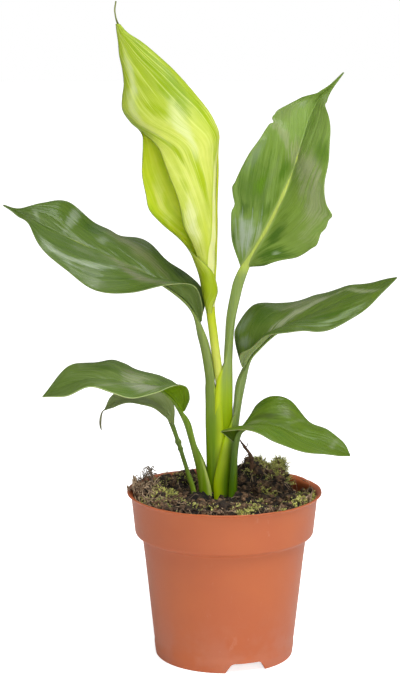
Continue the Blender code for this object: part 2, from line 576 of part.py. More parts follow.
def inner_wall(z):
    """Radius of the pot's inner wall at a height."""
    step = BAND_LOW - 2.6
    rows = ((FLOOR + FLOOR_T, FOOT_R - WALL + 0.7), (step - 3.2, BODY_TOP_R - WALL - 0.6),
            (step - 1.0, BODY_TOP_R - WALL), (BAND_LOW - 0.4, BAND_LOW_R - WALL - 1.2),
            (BAND_LOW + 1.2, BAND_LOW_R - WALL - 0.1), (LIP_TOP, BAND_TOP_R - WALL))
    for (z0, r0), (z1, r1) in zip(rows, rows[1:]):
        if z <= z1:
            return r0 + (r1 - r0) * (z - z0) / (z1 - z0)
    return rows[-1][1]


def make_soil():
    """Potting soil filling the pot, heaped at the back, with the plant's well in it."""
    lumps = soil_lumps()
    step = BAND_LOW - 2.6
    levels = (FLOOR + FLOOR_T + FLOOR_GAP, step - 3.2, step - 1.0, BAND_LOW - 0.4, BAND_LOW + 1.2)
    verts = []
    faces = []
    for z in levels:
        verts += [(p[0], p[1], z) for p in circle(inner_wall(z) - WALL_GAP, SOIL_SIDES)]
    rim = inner_wall(95.0) - WALL_GAP
    for k in range(SOIL_RINGS):
        r = rim * (1.0 - (k / SOIL_RINGS) ** 1.1)
        for p in circle(r, SOIL_SIDES):
            z = soil_height(p[0], p[1], lumps)
            verts.append((p[0], p[1], min(z, 101.0) if k == 0 else z))
    rings = len(levels) + SOIL_RINGS
    for j in range(rings - 1):
        for i in range(SOIL_SIDES):
            a = j * SOIL_SIDES + i
            b = j * SOIL_SIDES + (i + 1) % SOIL_SIDES
            faces += [(a, b, b + SOIL_SIDES), (a, b + SOIL_SIDES, a + SOIL_SIDES)]
    verts.append((0.0, 0.0, soil_height(0.0, 0.0, lumps)))
    top = (rings - 1) * SOIL_SIDES
    for i in range(SOIL_SIDES):
        faces.append((top + i, top + (i + 1) % SOIL_SIDES, len(verts) - 1))
    faces.append(tuple(range(SOIL_SIDES - 1, -1, -1)))
    ob = finish("soil", verts, faces)
    cavity = crown_body("cavity", SOIL_GAP)
    combine(ob, cavity, "DIFFERENCE")
    outline = [(9.0, 0.0), (9.0, 4.5), (6.0, 8.4), (-2.0, 9.2), (-8.0, 8.2), (-13.0, 7.0),
               (-18.0, 7.6), (-21.6, 5.6), (-21.6, -1.6), (-17.0, -6.0), (-12.0, -7.6),
               (-6.0, -8.8), (0.0, -10.5), (1.8, -13.4), (6.0, -14.4), (9.2, -12.0)]
    well = plug("well", outline, WELL_FLOOR, 125.0, 0.0, 0.0)
    combine(ob, well, "DIFFERENCE")
    hole = twig("hole", SOIL_GAP)
    combine(ob, hole, "DIFFERENCE")
    return ob


def root(start, mid, end, across, thick, tip, grow):
    """One fleshy root as a bent, tapering rod."""
    verts = []
    faces = []
    sides = 6
    steps = 6
    for k in range(steps + 1):
        t = k / steps
        place = start.lerp(mid, t).lerp(mid.lerp(end, t), t)
        along = (mid - start).lerp(end - mid, t).normalized()
        other = along.cross(across).normalized()
        side = other.cross(along)
        radius = thick + (tip - thick) * t + grow
        if k == steps:
            place = place + along * grow
        for i in range(sides):
            a = 2 * math.pi * i / sides
            verts.append(place + side * radius * math.cos(a) + other * radius * math.sin(a))
    for k in range(steps):
        for i in range(sides):
            a = k * sides + i
            b = k * sides + (i + 1) % sides
            faces += [(a, b, b + sides, a + sides)]
    faces.append(tuple(range(sides - 1, -1, -1)))
    faces.append(tuple(steps * sides + i for i in range(sides)))
    return verts, faces


def crown_body(name, grow):
    """The short rootstock that the leaves rise from, with its fleshy roots."""
    verts = []
    faces = []
    sides = 20
    rows = ((7.0, 0.0), (11.5, 2.5), (13.6, 8.0), (13.2, 14.0), (11.0, 20.0), (9.0, 23.6))
    low = 54.0
    for r, z in rows:
        lift = grow if z > 20 else (-grow if z == 0.0 else 0.0)
        for i in range(sides):
            a = 2 * math.pi * i / sides
            verts.append((-6.0 + (r + grow) * 1.15 * math.cos(a), -1.5 + (r + grow) * 0.85 * math.sin(a),
                          low + z + lift))
    for k in range(len(rows) - 1):
        for i in range(sides):
            a = k * sides + i
            b = k * sides + (i + 1) % sides
            faces.append((a, b, b + sides, a + sides))
    faces.append(tuple(range(sides - 1, -1, -1)))
    faces.append(tuple((len(rows) - 1) * sides + i for i in range(sides)))
    ob = finish(name, verts, faces)
    for bearing, reach, depth, thick in ((20, 34, 14, 2.6), (85, 30, 20, 2.3), (150, 33, 13, 2.7),
                                         (205, 28, 24, 2.2), (265, 32, 15, 2.6), (320, 29, 18, 2.4)):
        a = math.radians(bearing)
        side = Vector((math.cos(a), math.sin(a), 0.0))
        start = Vector((-6.0, -1.5, 62.0)) + side * 5.0
        mid = Vector((-6.0, -1.5, 60.0)) + side * (reach * 0.9)
        end = Vector((-2.0, -0.5, depth)) + side * reach
        verts, faces = root(start, mid, end, Vector((-side.y, side.x, 0.0)), thick, 1.1, grow)
        rod = finish("rod", verts, faces)
        combine(ob, rod, "UNION")
    return ob


def twig(name, grow):
    """A dead bit of root that sticks up out of the heap of soil."""
    line = ((17.0, 24.0, 101.0, 1.5), (16.4, 24.0, 108.0, 1.4), (14.6, 24.5, 113.5, 1.1),
            (11.4, 25.5, 118.0, 0.9), (9.0, 26.0, 121.5, 0.6))
    if grow:
        line = line[:2] + ((16.2, 24.0, 128.0, 1.6),)
    verts = []
    faces = []
    sides = 7
    for k, (x, y, z, r) in enumerate(line):
        low = -grow if k == 0 else 0.0
        for i in range(sides):
            a = 2 * math.pi * i / sides
            verts.append((x + (r + grow) * math.cos(a), y + (r + grow) * math.sin(a),
                          z + low + 0.35 * r * math.cos(a) * (k > 1)))
    for k in range(len(line) - 1):
        for i in range(sides):
            a = k * sides + i
            b = k * sides + (i + 1) % sides
            faces += [(a, b, b + sides), (a, b + sides, a + sides)]
    faces.append(tuple(range(sides - 1, -1, -1)))
    faces.append(tuple((len(line) - 1) * sides + i for i in range(sides)))
    return finish(name, verts, faces)


def main():
    clear_scene()
    paint(make_pot(), (0.56, 0.17, 0.075), 0.42)
    paint(make_soil(), (0.045, 0.028, 0.018), 0.95)
    paint(crown_body("crown", 0.0), (0.62, 0.52, 0.34), 0.6)
    paint(twig("dry_root", 0.0), (0.16, 0.09, 0.045), 0.9)
    shades = {"upper_left_leaf": (0.10, 0.22, 0.045), "upper_right_leaf": (0.12, 0.25, 0.05),
              "mid_right_leaf": (0.11, 0.24, 0.05), "lower_left_leaf": (0.12, 0.26, 0.06),
              "lower_left_small_leaf": (0.16, 0.22, 0.09), "lower_right_leaf": (0.13, 0.28, 0.06)}
    for leaf in LEAVES:
        ob = make_leaf(leaf)
        paint(ob, shades[leaf[0]], 0.38)
    paint(make_young_leaf(), (0.50, 0.62, 0.07), 0.4)
    for ob in bpy.data.objects:
        smooth_shade(ob, 40 if ob.name == "pot" else 60)


main()
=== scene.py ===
"""The looks of a young bird of paradise in its nursery pot.

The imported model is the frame. The tables give each leaf's margins, midrib and
stalk in millimetres from the pot's axis and the ground. Fine leaves, the pot,
soil, moss and roots are laid on them, and every piece rides on the one body.
"""
import bmesh
import bpy
import math
import random
from mathutils import Matrix, Vector, noise


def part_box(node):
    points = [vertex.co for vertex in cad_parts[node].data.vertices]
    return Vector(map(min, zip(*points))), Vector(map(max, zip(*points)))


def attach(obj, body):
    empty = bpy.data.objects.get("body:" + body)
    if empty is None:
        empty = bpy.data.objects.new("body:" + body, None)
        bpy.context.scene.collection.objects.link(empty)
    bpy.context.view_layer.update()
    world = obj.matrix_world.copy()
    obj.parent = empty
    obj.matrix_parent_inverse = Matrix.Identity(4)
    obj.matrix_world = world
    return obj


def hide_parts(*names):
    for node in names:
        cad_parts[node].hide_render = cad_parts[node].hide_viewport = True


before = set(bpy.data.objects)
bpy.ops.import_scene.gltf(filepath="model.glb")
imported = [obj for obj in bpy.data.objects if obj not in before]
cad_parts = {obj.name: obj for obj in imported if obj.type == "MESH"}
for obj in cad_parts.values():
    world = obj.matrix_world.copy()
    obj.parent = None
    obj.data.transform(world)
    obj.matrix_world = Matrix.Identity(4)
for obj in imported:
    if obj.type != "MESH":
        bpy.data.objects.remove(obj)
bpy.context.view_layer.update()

MM = 0.001
POT_LOW, POT_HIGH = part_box("pot")
AXIS_X = (POT_LOW.x + POT_HIGH.x) / 2      # the pot's axis

# The pot, in millimetres
LIP_R = (POT_HIGH.x - POT_LOW.x) / 2 / MM
LIP_TOP = POT_HIGH.z / MM
LIP_T = 1.3
BAND_TOP_R = 57.6
BAND_LOW_R = 55.2
BAND_LOW = 79.0
BAND_STEP = 2.6           # how tall the step below the band is
BODY_TOP_R = 50.6
FOOT_R = 42.7
WALL = 1.3
FLOOR = 6.5
FLOOR_T = 1.5
FOOT_RING_W = 2.2
NOTCH_H = 6.0
NOTCH_HALF = 12.5
NOTCHES = (18.0, 139.0, -101.0)
DRAIN_R = 4.0
DRAIN_RING = 24.0
DRAIN_HOLES = 6
POT_STEPS = 160

# The soil and what lies on it
SOIL_LEVEL = 97.5
SOIL_DROP = 1.5           # from the middle to the wall
SOIL_LEAN = 0.03          # down towards the back, for each millimetre
SOIL_TURNS = 300
SOIL_RINGS = 110
SOIL_GAP = 0.1            # to the pot's inner wall
EDGE_HEIGHT = 102.6       # the most beside the wall
LOOSE_R = 54.0            # as far out as crumbs lie
ON_LIP_R = 55.5           # from here outward things rest on the lip
MOSS_LEAST = -1.3         # moss leaves deeper hollows bare
LUMP_END = 6.0            # a lump's squared reach beyond which it adds nothing
STALKS_BOX = (-23.0, 11.0, -14.0, 9.0)    # kept clear: x and y, least and greatest
# Clods and grains: their size, shift of the noise and height
CLOD_SIZES = ((4.2, (0.0, 0.0, 0.0), 3.2), (1.9, (9.0, 0.0, 3.0), 1.4), (0.8, (0.0, 7.0, 5.0), 0.45))

# The leaves
BLADE_T = 0.42
BLADE_ROWS = 170
BLADE_COLS = 30           # on each side of the midrib
STALK_STEPS = 18          # along each face of a stalk's section
RIB_SHARES = (0.07, 0.2, 0.36, 0.54, 0.72, 0.88, 0.965)
STALK_ROWS = 130
YOUNG_STALK_ROWS = 150
VEIN_BEND = 1.15
FIRST_LIFT = 0.6          # how far up the blade the veins run, as a share
YOUNG_LIFT = 0.75

# Each leaf: left margin, midrib and right margin, seen from its upper face,
# at matching stations from the foot of the blade to the tip.
UPPER_LEFT = (
    ((-13.8, -1.2, 209.6), (-15, 1, 207.5), (-13.6, 3.2, 209.8)),
    ((-13.5, -5.5, 221), (-19.5, 1, 217), (-12, 6.5, 220.5)),
    ((-19.5, -12.5, 232.5), (-27.5, 1, 225), (-15.5, 14, 230)),
    ((-34.5, -20.5, 234.5), (-38, 1, 232.5), (-27.5, 20.5, 239)),
    ((-56, -23.5, 229.5), (-52.5, 1, 240.5), (-44, 23.5, 253.5)),
    ((-77.5, -22.5, 231.5), (-69.5, 1, 248.5), (-62, 24.5, 259.5)),
    ((-95, -20.5, 243), (-86.5, 1, 256), (-78.5, 22, 266.5)),
    ((-109, -16, 255.5), (-102.5, 1, 264), (-95.5, 15.5, 280)),
    ((-119.5, -8.5, 268.5), (-115.5, 1, 271), (-110.5, 7.5, 280.5)),
    ((-126.5, -1, 274.5), (-125, 1, 275.5), (-124, 2, 277.5)),
    ((-133.8, 0.7, 279.3), (-133.5, 1, 279.5), (-133.2, 1.3, 279.8)))
UPPER_RIGHT = (
    ((9.3, 1, 242.4), (11.5, 2, 242), (13.6, 1, 241.6)),
    ((4, -5, 260), (18, 0, 253), (27.5, -6, 245.5)),
    ((3.5, -13, 279.5), (25.5, -2, 266.5), (48.5, -12, 252.5)),
    ((6.5, -14, 297), (32.5, -3, 281), (60, -18, 268)),
    ((13.5, -13, 310), (39, -2, 296), (58.5, -20.5, 288)),
    ((20.5, -8, 320.5), (43.5, 2, 309), (59.5, -18, 305)),
    ((27.5, 1, 329.5), (47.5, 9, 321), (61.5, -10, 317.5)),
    ((32, 12, 336), (52, 18, 332.5), (61.5, 1, 332)),
    ((46.5, 20, 343), (58, 28, 342), (61, 16, 340.5)),
    ((62, 33, 348.5), (64.5, 36, 348), (66.5, 35, 347.5)),
    ((73.6, 45.6, 357.6), (74, 46, 357.5), (74.4, 46, 357.3)))
MID_RIGHT = (
    ((10, 4.3, 181.5), (12, 2, 179.5), (10.2, -0.3, 181)),
    ((6.5, 8.5, 193.5), (15.5, 2, 187), (9.5, -4.5, 189)),
    ((7.5, 13.5, 203.5), (21, 2, 193), (16, -12, 195)),
    ((17.5, 18, 216), (29, 2, 200.5), (26, -17.5, 203)),
    ((33, 21.5, 217), (40, 2, 207), (41, -20, 206)),
    ((48, 23.5, 218.5), (52, 2, 213), (56, -19, 205.5)),
    ((62, 21.5, 223.5), (65, 2, 219), (69.5, -15, 209)),
    ((76, 16.5, 228.5), (78.5, 2, 224.5), (82.5, -10, 216)),
    ((90, 9.5, 232.5), (92, 2, 230), (94.5, -4.5, 226)),
    ((104.3, 2.4, 235.7), (104.5, 2, 235.5), (104.7, 1.6, 235.3)))
LOWER_LEFT = (
    ((-24, -5, 154.5), (-25.5, -3, 153), (-24.2, -1, 154.7)),
    ((-21, -8.5, 163), (-29, -4, 158.5), (-24, 2, 164.5)),
    ((-23.5, -14.5, 171), (-33, -5, 163.5), (-28, 8, 168)),
    ((-32, -21, 173), (-38, -6, 167.5), (-35, 11.5, 171)),
    ((-42.5, -25, 169), (-46.5, -7, 170.5), (-44.5, 11.5, 174.5)),
    ((-55, -26.5, 166.5), (-58.5, -8, 172.5), (-57, 10.5, 178.5)),
    ((-68.5, -27.5, 170.5), (-71, -9, 174.5), (-69, 8.5, 183.5)),
    ((-82, -26, 173), (-83, -10, 175), (-83.5, 5, 183)),
    ((-96, -22.5, 167), (-97, -11, 171), (-96.5, -2.5, 180.5)),
    ((-110.5, -12.6, 164.3), (-110.5, -12, 164.5), (-110.4, -11.4, 164.9)))
LOWER_LEFT_SMALL = (
    ((-32.2, 10.4, 142.6), (-31.5, 12, 141.5), (-30.9, 13.6, 142.8)),
    ((-36.5, 8.5, 148), (-34.5, 14.5, 148.5), (-31, 20, 151)),
    ((-42, 6.5, 152.5), (-40, 17.5, 153.5), (-35.5, 27.5, 158)),
    ((-48.5, 6.5, 155.5), (-47.5, 20, 157), (-45, 33, 161.5)),
    ((-57, 9, 156.5), (-56, 22, 158), (-55.5, 34, 162.5)),
    ((-65, 14.5, 154), (-64.5, 24, 155.5), (-65, 32.5, 160)),
    ((-70.5, 19.5, 151), (-70, 25, 152), (-71.5, 29.5, 155.5)),
    ((-75, 25.4, 148.2), (-75, 26, 148.5), (-75, 26.6, 148.8)))
LOWER_RIGHT = (
    ((8, -7.8, 136.4), (6.5, -9.5, 135), (5.2, -11.2, 136)),
    ((11.5, -3, 142), (8, -10, 140.5), (0, -13, 141)),
    ((15.5, 1.5, 147), (11, -11, 144.5), (-2, -20, 145)),
    ((19.5, 1.5, 157), (16.5, -12, 147), (8.5, -27.5, 147.5)),
    ((28.5, -1.5, 162.5), (25, -13, 148), (20, -31, 146)),
    ((40, -2.5, 159.5), (35.5, -14, 145.5), (31, -31.5, 140.5)),
    ((52, -3, 146.5), (46.5, -15, 141), (43, -29, 135)),
    ((63, -8, 143), (58, -16, 137), (55.5, -26, 132)),
    ((72, -13.5, 137), (68, -17, 133), (66.5, -22.5, 130)),
    ((76, -17.5, 130), (76, -18, 129.5), (76, -18.5, 129.2)))

# The youngest leaf is still rolled. Each row is a level cut through the roll:
# x and y of its middle, height, half width, depth to the front and to the
# back, then the bearings of midrib, front margin and back margin, and how far
# the roll winds outward in one turn.
YOUNG_ROLL = (
    (-8.5, 0, 212, 2.2, 2.3, 2.3, -10, -112, 285, 0.12),
    (-8.9, 0, 219, 3.25, 3.2, 3.2, -12, -118, 300, 0.20),
    (-9.1, 0, 227, 4.5, 4.3, 4.2, -15, -128, 338, 0.24),
    (-10.3, 0, 236.5, 5, 4.9, 4.5, -15, -138, 318, 0.26),
    (-11.6, 0, 245, 6.6, 5.9, 4.9, -14, -140, 265, 0.26),
    (-13.2, 0, 252.5, 8.3, 7, 5.4, -14, -132, 208, 0.22),
    (-15.9, 0, 259.5, 11.8, 8.6, 5.5, -14, -116, 184, 0.10),
    (-21.1, 0.5, 268, 17, 10.5, 5.6, -13, -103, 180, 0),
    (-25, 0.5, 276.5, 20.6, 12, 6, -13, -94, 179, 0),
    (-26.2, 1, 286, 21.6, 13, 6.5, -13, -97, 178, 0),
    (-27.2, 1.5, 297, 22.7, 13.5, 7, -12, -105, 178, 0),
    (-27, 2, 306.5, 22.8, 13.5, 7, -8, -115, 178, 0),
    (-26.5, 2.5, 315, 23, 13.5, 7, 0, -127, 176, 0),
    (-26.9, 3, 322, 23.5, 13, 7.5, 12, -152, 172, 0),
    (-31.5, 3.5, 329, 25.4, 12, 7.5, 30, -176, 166, 0),
    (-35.8, 4, 336, 25.7, 10.5, 7, 45, -178, 158, 0),
    (-38.8, 4.5, 343.5, 22.9, 9, 6, 55, -178, 155, 0),
    (-41.7, 5, 351.5, 19, 7.5, 5, 62, -178, 152, 0),
    (-46, 5.5, 360, 15.5, 5.5, 4, 68, -177, 150, 0),
    (-51.5, 6, 368.5, 11.8, 4, 3, 72, -176, 148, 0),
    (-56.8, 6.5, 376.5, 7.2, 2.8, 2.4, 76, -174, 145, 0),
    (-61.4, 7, 382, 3.4, 2, 1.8, 80, -170, 140, 0),
    (-64, 7.4, 387, 1.4, 1.2, 1.2, 85, -160, 130, 0))
YOUNG_RIB = ((0.15, 0.6), (0.25, 0.65), (0.38, 0.65), (0.5, 0.62),
             (0.62, 0.5), (0.75, 0.38), (0.88, 0.2), (0.975, 0))
YOUNG_THREAD = ((-65.6, 7.5, 393.5), (-65, 7.5, 400.4))

# Stalks from the soil up: x, y, z, half width across the fan, then how far
# the outer face, the groove's floor and the sheath's edges lie from the line.
STALKS = {
    "upper_left_leaf": (
        (-9.2, 0, 78, 5.2, 1.7, -1.6, -8),
        (-9.2, 0, 100, 5.4, 1.7, -1.6, -8.4),
        (-9.3, 0, 118, 5.4, 1.7, -1.6, -8.4),
        (-9.6, 0, 135, 5, 1.8, -1.6, -9.2),
        (-9.7, 0.2, 146, 4.5, 2, -1.8, -8.9),
        (-9.4, 0.4, 157, 3.8, 2.3, -2, -7.5),
        (-9.3, 0.6, 166.5, 3.2, 2.6, -2.2, -4.4),
        (-9.2, 0.8, 174, 3, 2.7, -3.3, -2.4),
        (-11.4, 1, 189.5, 2.8, 2.8, -3.1, -1.2),
        (-13.7, 1, 200, 2.8, 2.9, -2.3, -0.6)),
    "upper_right_leaf": (
        (2.3, 0, 78, 3.4, 1.9, -1.2, -7.8),
        (2.3, 0, 100, 3.5, 1.9, -1.2, -7.8),
        (2.5, 0, 135, 3.5, 2.1, -1.4, -8),
        (2.6, 0, 160, 3.4, 2.4, -1.8, -8.4),
        (2.3, 0.3, 173, 3.3, 2.7, -2.2, -6.8),
        (2, 0.6, 180.5, 3.2, 2.9, -2.3, -3.4),
        (1.9, 0.9, 186, 3.1, 3, -2.4, -1.4),
        (2.6, 1.4, 197, 3, 2.8, -2.2, -0.6),
        (3.8, 1.7, 210, 3.1, 2.7, -2.1, -0.5),
        (6.3, 2, 223, 3.2, 2.6, -1.9, -0.4),
        (9.2, 2, 234.5, 3.2, 2.6, -1.7, -0.4)),
    "mid_right_leaf": (
        (6.4, 0, 78, 8, 1.7, -1.3, -12.2),
        (6.4, 0, 100, 8.1, 1.7, -1.3, -12.8),
        (6.4, 0, 111, 8.1, 1.7, -1.3, -12.9),
        (6.4, 0, 125, 7.6, 1.8, -1.3, -10),
        (6.5, 0.4, 136, 6.4, 1.9, -1.5, -7.4),
        (6.9, 0.8, 146, 4.4, 2.2, -1.8, -3.6),
        (8, 1.4, 158, 2.9, 2.7, -2.3, -1),
        (10, 1.6, 171, 3, 3.2, -2.6, -0.6)),
    "lower_right_leaf": (
        (4.8, -10.6, 78, 2.6, 1.8, -1.6, -0.8),
        (4.9, -10.6, 100, 2.6, 1.8, -1.6, -0.8),
        (5.6, -10.3, 116, 2.3, 1.9, -1.6, -0.6),
        (6.2, -9.9, 128, 2.1, 1.9, -1.6, -0.4)),
    "lower_left_leaf": (
        (-13.3, 0, 78, 5.8, 1.9, -1.6, -5.4),
        (-13.3, 0, 100, 6, 2, -1.6, -5.8),
        (-15, -0.5, 115, 5, 2.1, -1.8, -4.4),
        (-17.3, -1.4, 126, 3.6, 2.2, -1.8, -2.6),
        (-20, -2.3, 136.5, 2.5, 2.2, -1.8, -0.8),
        (-23, -2.9, 147, 2.4, 2.3, -1.8, -0.5)),
    "lower_left_small_leaf": (
        (-19, 2, 78, 3.4, 1.5, -1.1, -1.8),
        (-19, 2, 100, 3.4, 1.5, -1.1, -1.8),
        (-22, 4, 112, 2.4, 1.5, -1.2, -1.2),
        (-25.6, 7, 123, 1.5, 1.4, -1.2, -0.4),
        (-28.8, 10, 132.5, 1.4, 1.4, -1.2, -0.3)),
    "young_leaf": (
        (-3.3, 0, 78, 2.5, 2.6, -2.6, 0),
        (-3.3, 0, 100, 2.5, 2.7, -2.7, 0),
        (-3, 0, 135, 2.5, 2.7, -2.7, 0),
        (-2.6, 0, 160, 2.5, 2.7, -2.7, 0),
        (-3.2, 0, 173, 2.5, 2.7, -2.6, 0),
        (-5.4, 0, 189.5, 2.6, 2.7, -2.7, 0),
        (-7.1, 0, 203, 2.7, 2.7, -2.7, 0),
        (-8.5, 0, 214, 2.75, 2.8, -2.7, 0),
        (-9, 0, 224, 3, 3.1, -2.9, 0)),
}

# Each leaf: rails, bearing of the stalk's outer face, upward curl of each half
# (share of its width), ripple height and number of ripples along the margin
LEAVES = {
    "upper_left_leaf": (UPPER_LEFT, 180, -0.10, -0.08, 0.5, 5),
    "upper_right_leaf": (UPPER_RIGHT, 0, -0.08, -0.08, 0.8, 6),
    "mid_right_leaf": (MID_RIGHT, 0, -0.08, -0.10, 0.4, 5),
    "lower_left_leaf": (LOWER_LEFT, 180, -0.10, -0.08, 0.4, 4),
    "lower_left_small_leaf": (LOWER_LEFT_SMALL, 180, -0.06, -0.06, 0.3, 3),
    "lower_right_leaf": (LOWER_RIGHT, -60, -0.08, -0.08, 0.4, 4),
}


# Small bumps (+) and nicks (-) on a margin: side, share of the length, its
# spread along the margin, and how far the margin moves, in millimetres
NUDGES = {
    "upper_left_leaf": ((-1, 0.51, 0.035, -3.6), (-1, 0.44, 0.03, 0.8), (-1, 0.345, 0.045, -3.8),
                        (1, 0.80, 0.05, -2.6)),
    "upper_right_leaf": ((1, 0.605, 0.010, -1.6), (1, 0.635, 0.015, 0.8), (1, 0.265, 0.014, 1),
                         (1, 0.215, 0.020, -2.4), (-1, 0.345, 0.016, 3.4), (-1, 0.275, 0.016, -1.4),
                         (-1, 0.235, 0.012, 0.9), (-1, 0.165, 0.02, 0.8), (-1, 0.07, 0.04, 1.4),
                         (-1, 0.60, 0.12, 1.3), (1, 0.845, 0.025, -2.2), (-1, 0.81, 0.02, 1.5)),
    "mid_right_leaf": ((1, 0.62, 0.03, 0.8), (-1, 0.5, 0.03, -0.8), (1, 0.85, 0.08, -2.4)),
    "lower_left_leaf": ((-1, 0.73, 0.04, -1.6), (-1, 0.58, 0.03, 1), (-1, 0.30, 0.03, 0.8)),
    "lower_left_small_leaf": (),
    "lower_right_leaf": ((1, 0.60, 0.12, 1.2), (-1, 0.80, 0.08, -1)),
}

# Leaves whose midrib stands above the blade, and up to what share of the length
RAISED_RIBS = {"upper_right_leaf": 0.44}

# Swollen places on the stalks: height, its spread and the growth there
KNOTS = {
    "lower_left_small_leaf": ((131.5, 1.3, 0.55), (127.5, 0.9, 0.3)),
}

# Where soil and moss bank up against the wall: place, reach and height
BANKS = ((-49, 4, 12, 4.5), (-44, -22, 10, 3), (-42, 28, 12, 5), (-22, 46, 12, 6),
         (4, 50, 10, 5), (20, 44, 8, 2.5), (56, -4, 8, 6.5), (44, -22, 11, 4.5),
         (20, -44, 12, 4), (-12, -48, 12, 3.5), (-4, 2, 20, 3.4), (-4.8, -10.5, 3, -3.6),
         (9, -11, 7, 4.6), (-16, -6, 7, 2.4), (36, 33, 4.4, 8), (27.5, 31, 3.2, -3),
         (17.5, 25, 8, 7.5), (-9, -6, 5, 1.5), (44, -8, 5, -2.5), (20, 4, 6, -2),
         (24, -10, 9, 2), (33, -24, 5, -4), (49, 26, 10, -4.5), (44, 36, 8, -6),
         (-20, -14, 7, -1.5), (-32, -4, 6, -2))

# The soil's small heaps: place, reach and height
HEAPS = ((27, 36, 13, 11), (16, 40, 9, 9), (38, 27, 9, 6),
         (-38, -22, 8, 4.5), (-46, -6, 7, 4), (-30, 34, 12, 4),
         (38, -26, 10, 3), (2, -42, 10, 2.5), (-20, -38, 8, 2.5))

# Both ends of each bit of straw
STRAWS = (((2.5, -20, 101.5), (9, -30.5, 98)), ((4, -27, 99.5), (8.5, -40, 97)),
          ((-30, -25, 99.5), (-24, -33, 98.5)), ((28, 12, 100), (36, 8, 99.5)),
          ((-8, -34, 99), (0, -38, 98)), ((20, 34, 110), (28, 27, 107.5)))

# The dead root and its two side roots: points, radii and sides
DEAD_ROOT = (
    (((17.2, 25.5, 101), (17.6, 26.5, 108), (17.6, 26.5, 114.5), (16.9, 26, 118.6),
      (15.2, 25.8, 121.8), (13.4, 25.8, 124.2), (11.2, 25.8, 127.4), (10.2, 25.8, 129.2)),
     (1.5, 1.5, 1.25, 1.3, 0.85, 1, 0.6, 0.4), 9),
    (((16.7, 26, 118.8), (14.8, 25.2, 119.6), (13.4, 24.6, 118.4)), (0.5, 0.35, 0.2), 6),
    (((13.4, 25.8, 124.2), (14.8, 25, 125.8), (14.6, 24.4, 127.6)), (0.4, 0.3, 0.15), 6))

# The curled sprig: its place, how tall its threads stand and their radii
SPRIG_PLACE = (-47, 14)
SPRIG_TALL = (13, 25.5)
SPRIG_RADII = (0.34, 0.32, 0.28, 0.25, 0.25, 0.28, 0.32, 0.30, 0.20)

# Points of the withered thread at the small leaf's tip
DRIED_TIP = ((-74.6, 25.9, 148.7), (-76.3, 26, 147), (-77.3, 26, 143.5), (-77.6, 26, 139), (-77, 26, 135.4))

# Tufts of moss: x, y, spread, shoots, height
BRIGHT_MOSS = (
    (-36, 4, 6, 140, 5), (-40, -6, 5, 100, 4.4), (-31, -10, 5, 85, 4), (-24, -20, 5, 70, 3.4),
    (-18, -34, 5, 70, 3.4), (-8, -44, 6, 85, 3), (8, -38, 5, 110, 4), (14, -28, 5, 110, 4.4),
    (20, -38, 6, 125, 3.6), (22, -18, 4, 70, 4), (26, -28, 5, 85, 3.6), (42, -24, 7, 140, 3.6),
    (52, -10, 5, 140, 3.6), (50, 2, 5, 100, 3.4), (26, 12, 5, 85, 4.4), (30, 2, 4, 55, 4),
    (33, 30, 4, 85, 4.6), (24, 38, 4, 70, 4.4), (-27, 30, 5, 70, 3.6), (-10, 36, 4, 55, 4),
    (-48, -14, 4, 55, 3.4), (12, -48, 5, 85, 2.6), (-32, -38, 5, 55, 2.8), (34, -38, 5, 70, 3))
DULL_MOSS = (
    (24, 40, 6, 170, 4.4), (16, 42, 6, 125, 4), (33, 33, 5, 170, 5.4), (37, 29, 4, 125, 6),
    (19, 28, 6, 100, 3.8), (30, 22, 5, 85, 3.6), (-22, 34, 8, 125, 4), (-10, 42, 7, 110, 4),
    (-44, 20, 5, 70, 4), (34, 4, 6, 85, 3.4), (10, -24, 5, 40, 2.6), (-38, -26, 6, 85, 3),
    (4, 46, 6, 110, 3.8), (-36, 28, 6, 100, 4), (46, -6, 6, 85, 3), (-4, -34, 6, 55, 2.8),
    (36, 33, 3, 100, 6.4), (28, 33, 4, 85, 4.6))

# Roots: count, middle, spread, least and greatest height, stride, curl, thickness and

# how far from the axis they stay
ROOTS = (
    (70, (-51, 2), 5, 0.6, 6, 3.8, 0.6, 0.34, 56.5), (40, (-46, 24), 6, 0.3, 3, 3.4, 0.8, 0.26, 56.5),
    (34, (-44, -20), 7, 0.2, 2.4, 3.4, 0.8, 0.25, 54.5), (60, (0, -36), 16, 0.1, 1.8, 3, 0.8, 0.22, 54.5),
    (60, (46, -12), 9, 0.1, 1.8, 3.2, 0.8, 0.26, 54.5), (44, (26, 30), 8, 0.3, 3, 3, 0.9, 0.22, 54.5),
    (24, (-30, 30), 12, 0.2, 2.2, 3, 0.9, 0.22, 54.5), (12, (-58.5, -1), 2, 0.4, 2.4, 1.8, 1.2, 0.22, 60))
DARK_ROOTS = (
    (60, (-50, 4), 7, 0.3, 4, 3.4, 1, 0.3, 56.5), (50, (24, 16), 14, 0.2, 2.6, 3.6, 0.8, 0.3, 54.5),
    (50, (0, -30), 22, 0.1, 1.5, 3.4, 0.8, 0.26, 54.5))


# Points and pieces

def linked(ob):
    """The object, put into the scene."""
    bpy.context.scene.collection.objects.link(ob)
    return ob


def mesh_object(name, bm):
    """An object in the frame from a mesh in millimetres from the pot's axis."""
    bmesh.ops.transform(bm, verts=bm.verts, matrix=Matrix.Scale(MM, 4))
    bmesh.ops.translate(bm, verts=bm.verts, vec=(AXIS_X, 0.0, 0.0))
    mesh = bpy.data.meshes.new(name)
    bm.to_mesh(mesh)
    bm.free()
    return linked(bpy.data.objects.new(name, mesh))


def piece(name, bm, materials, replaced=(), smooth=True):
    """A finished mesh as a piece that rides on the body."""
    ob = mesh_object(name, bm)
    for material in materials:
        ob.data.materials.append(material)
    if smooth:
        ob.data.shade_smooth()
    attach(ob, "root")
    if replaced:
        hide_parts(*replaced)
    return ob


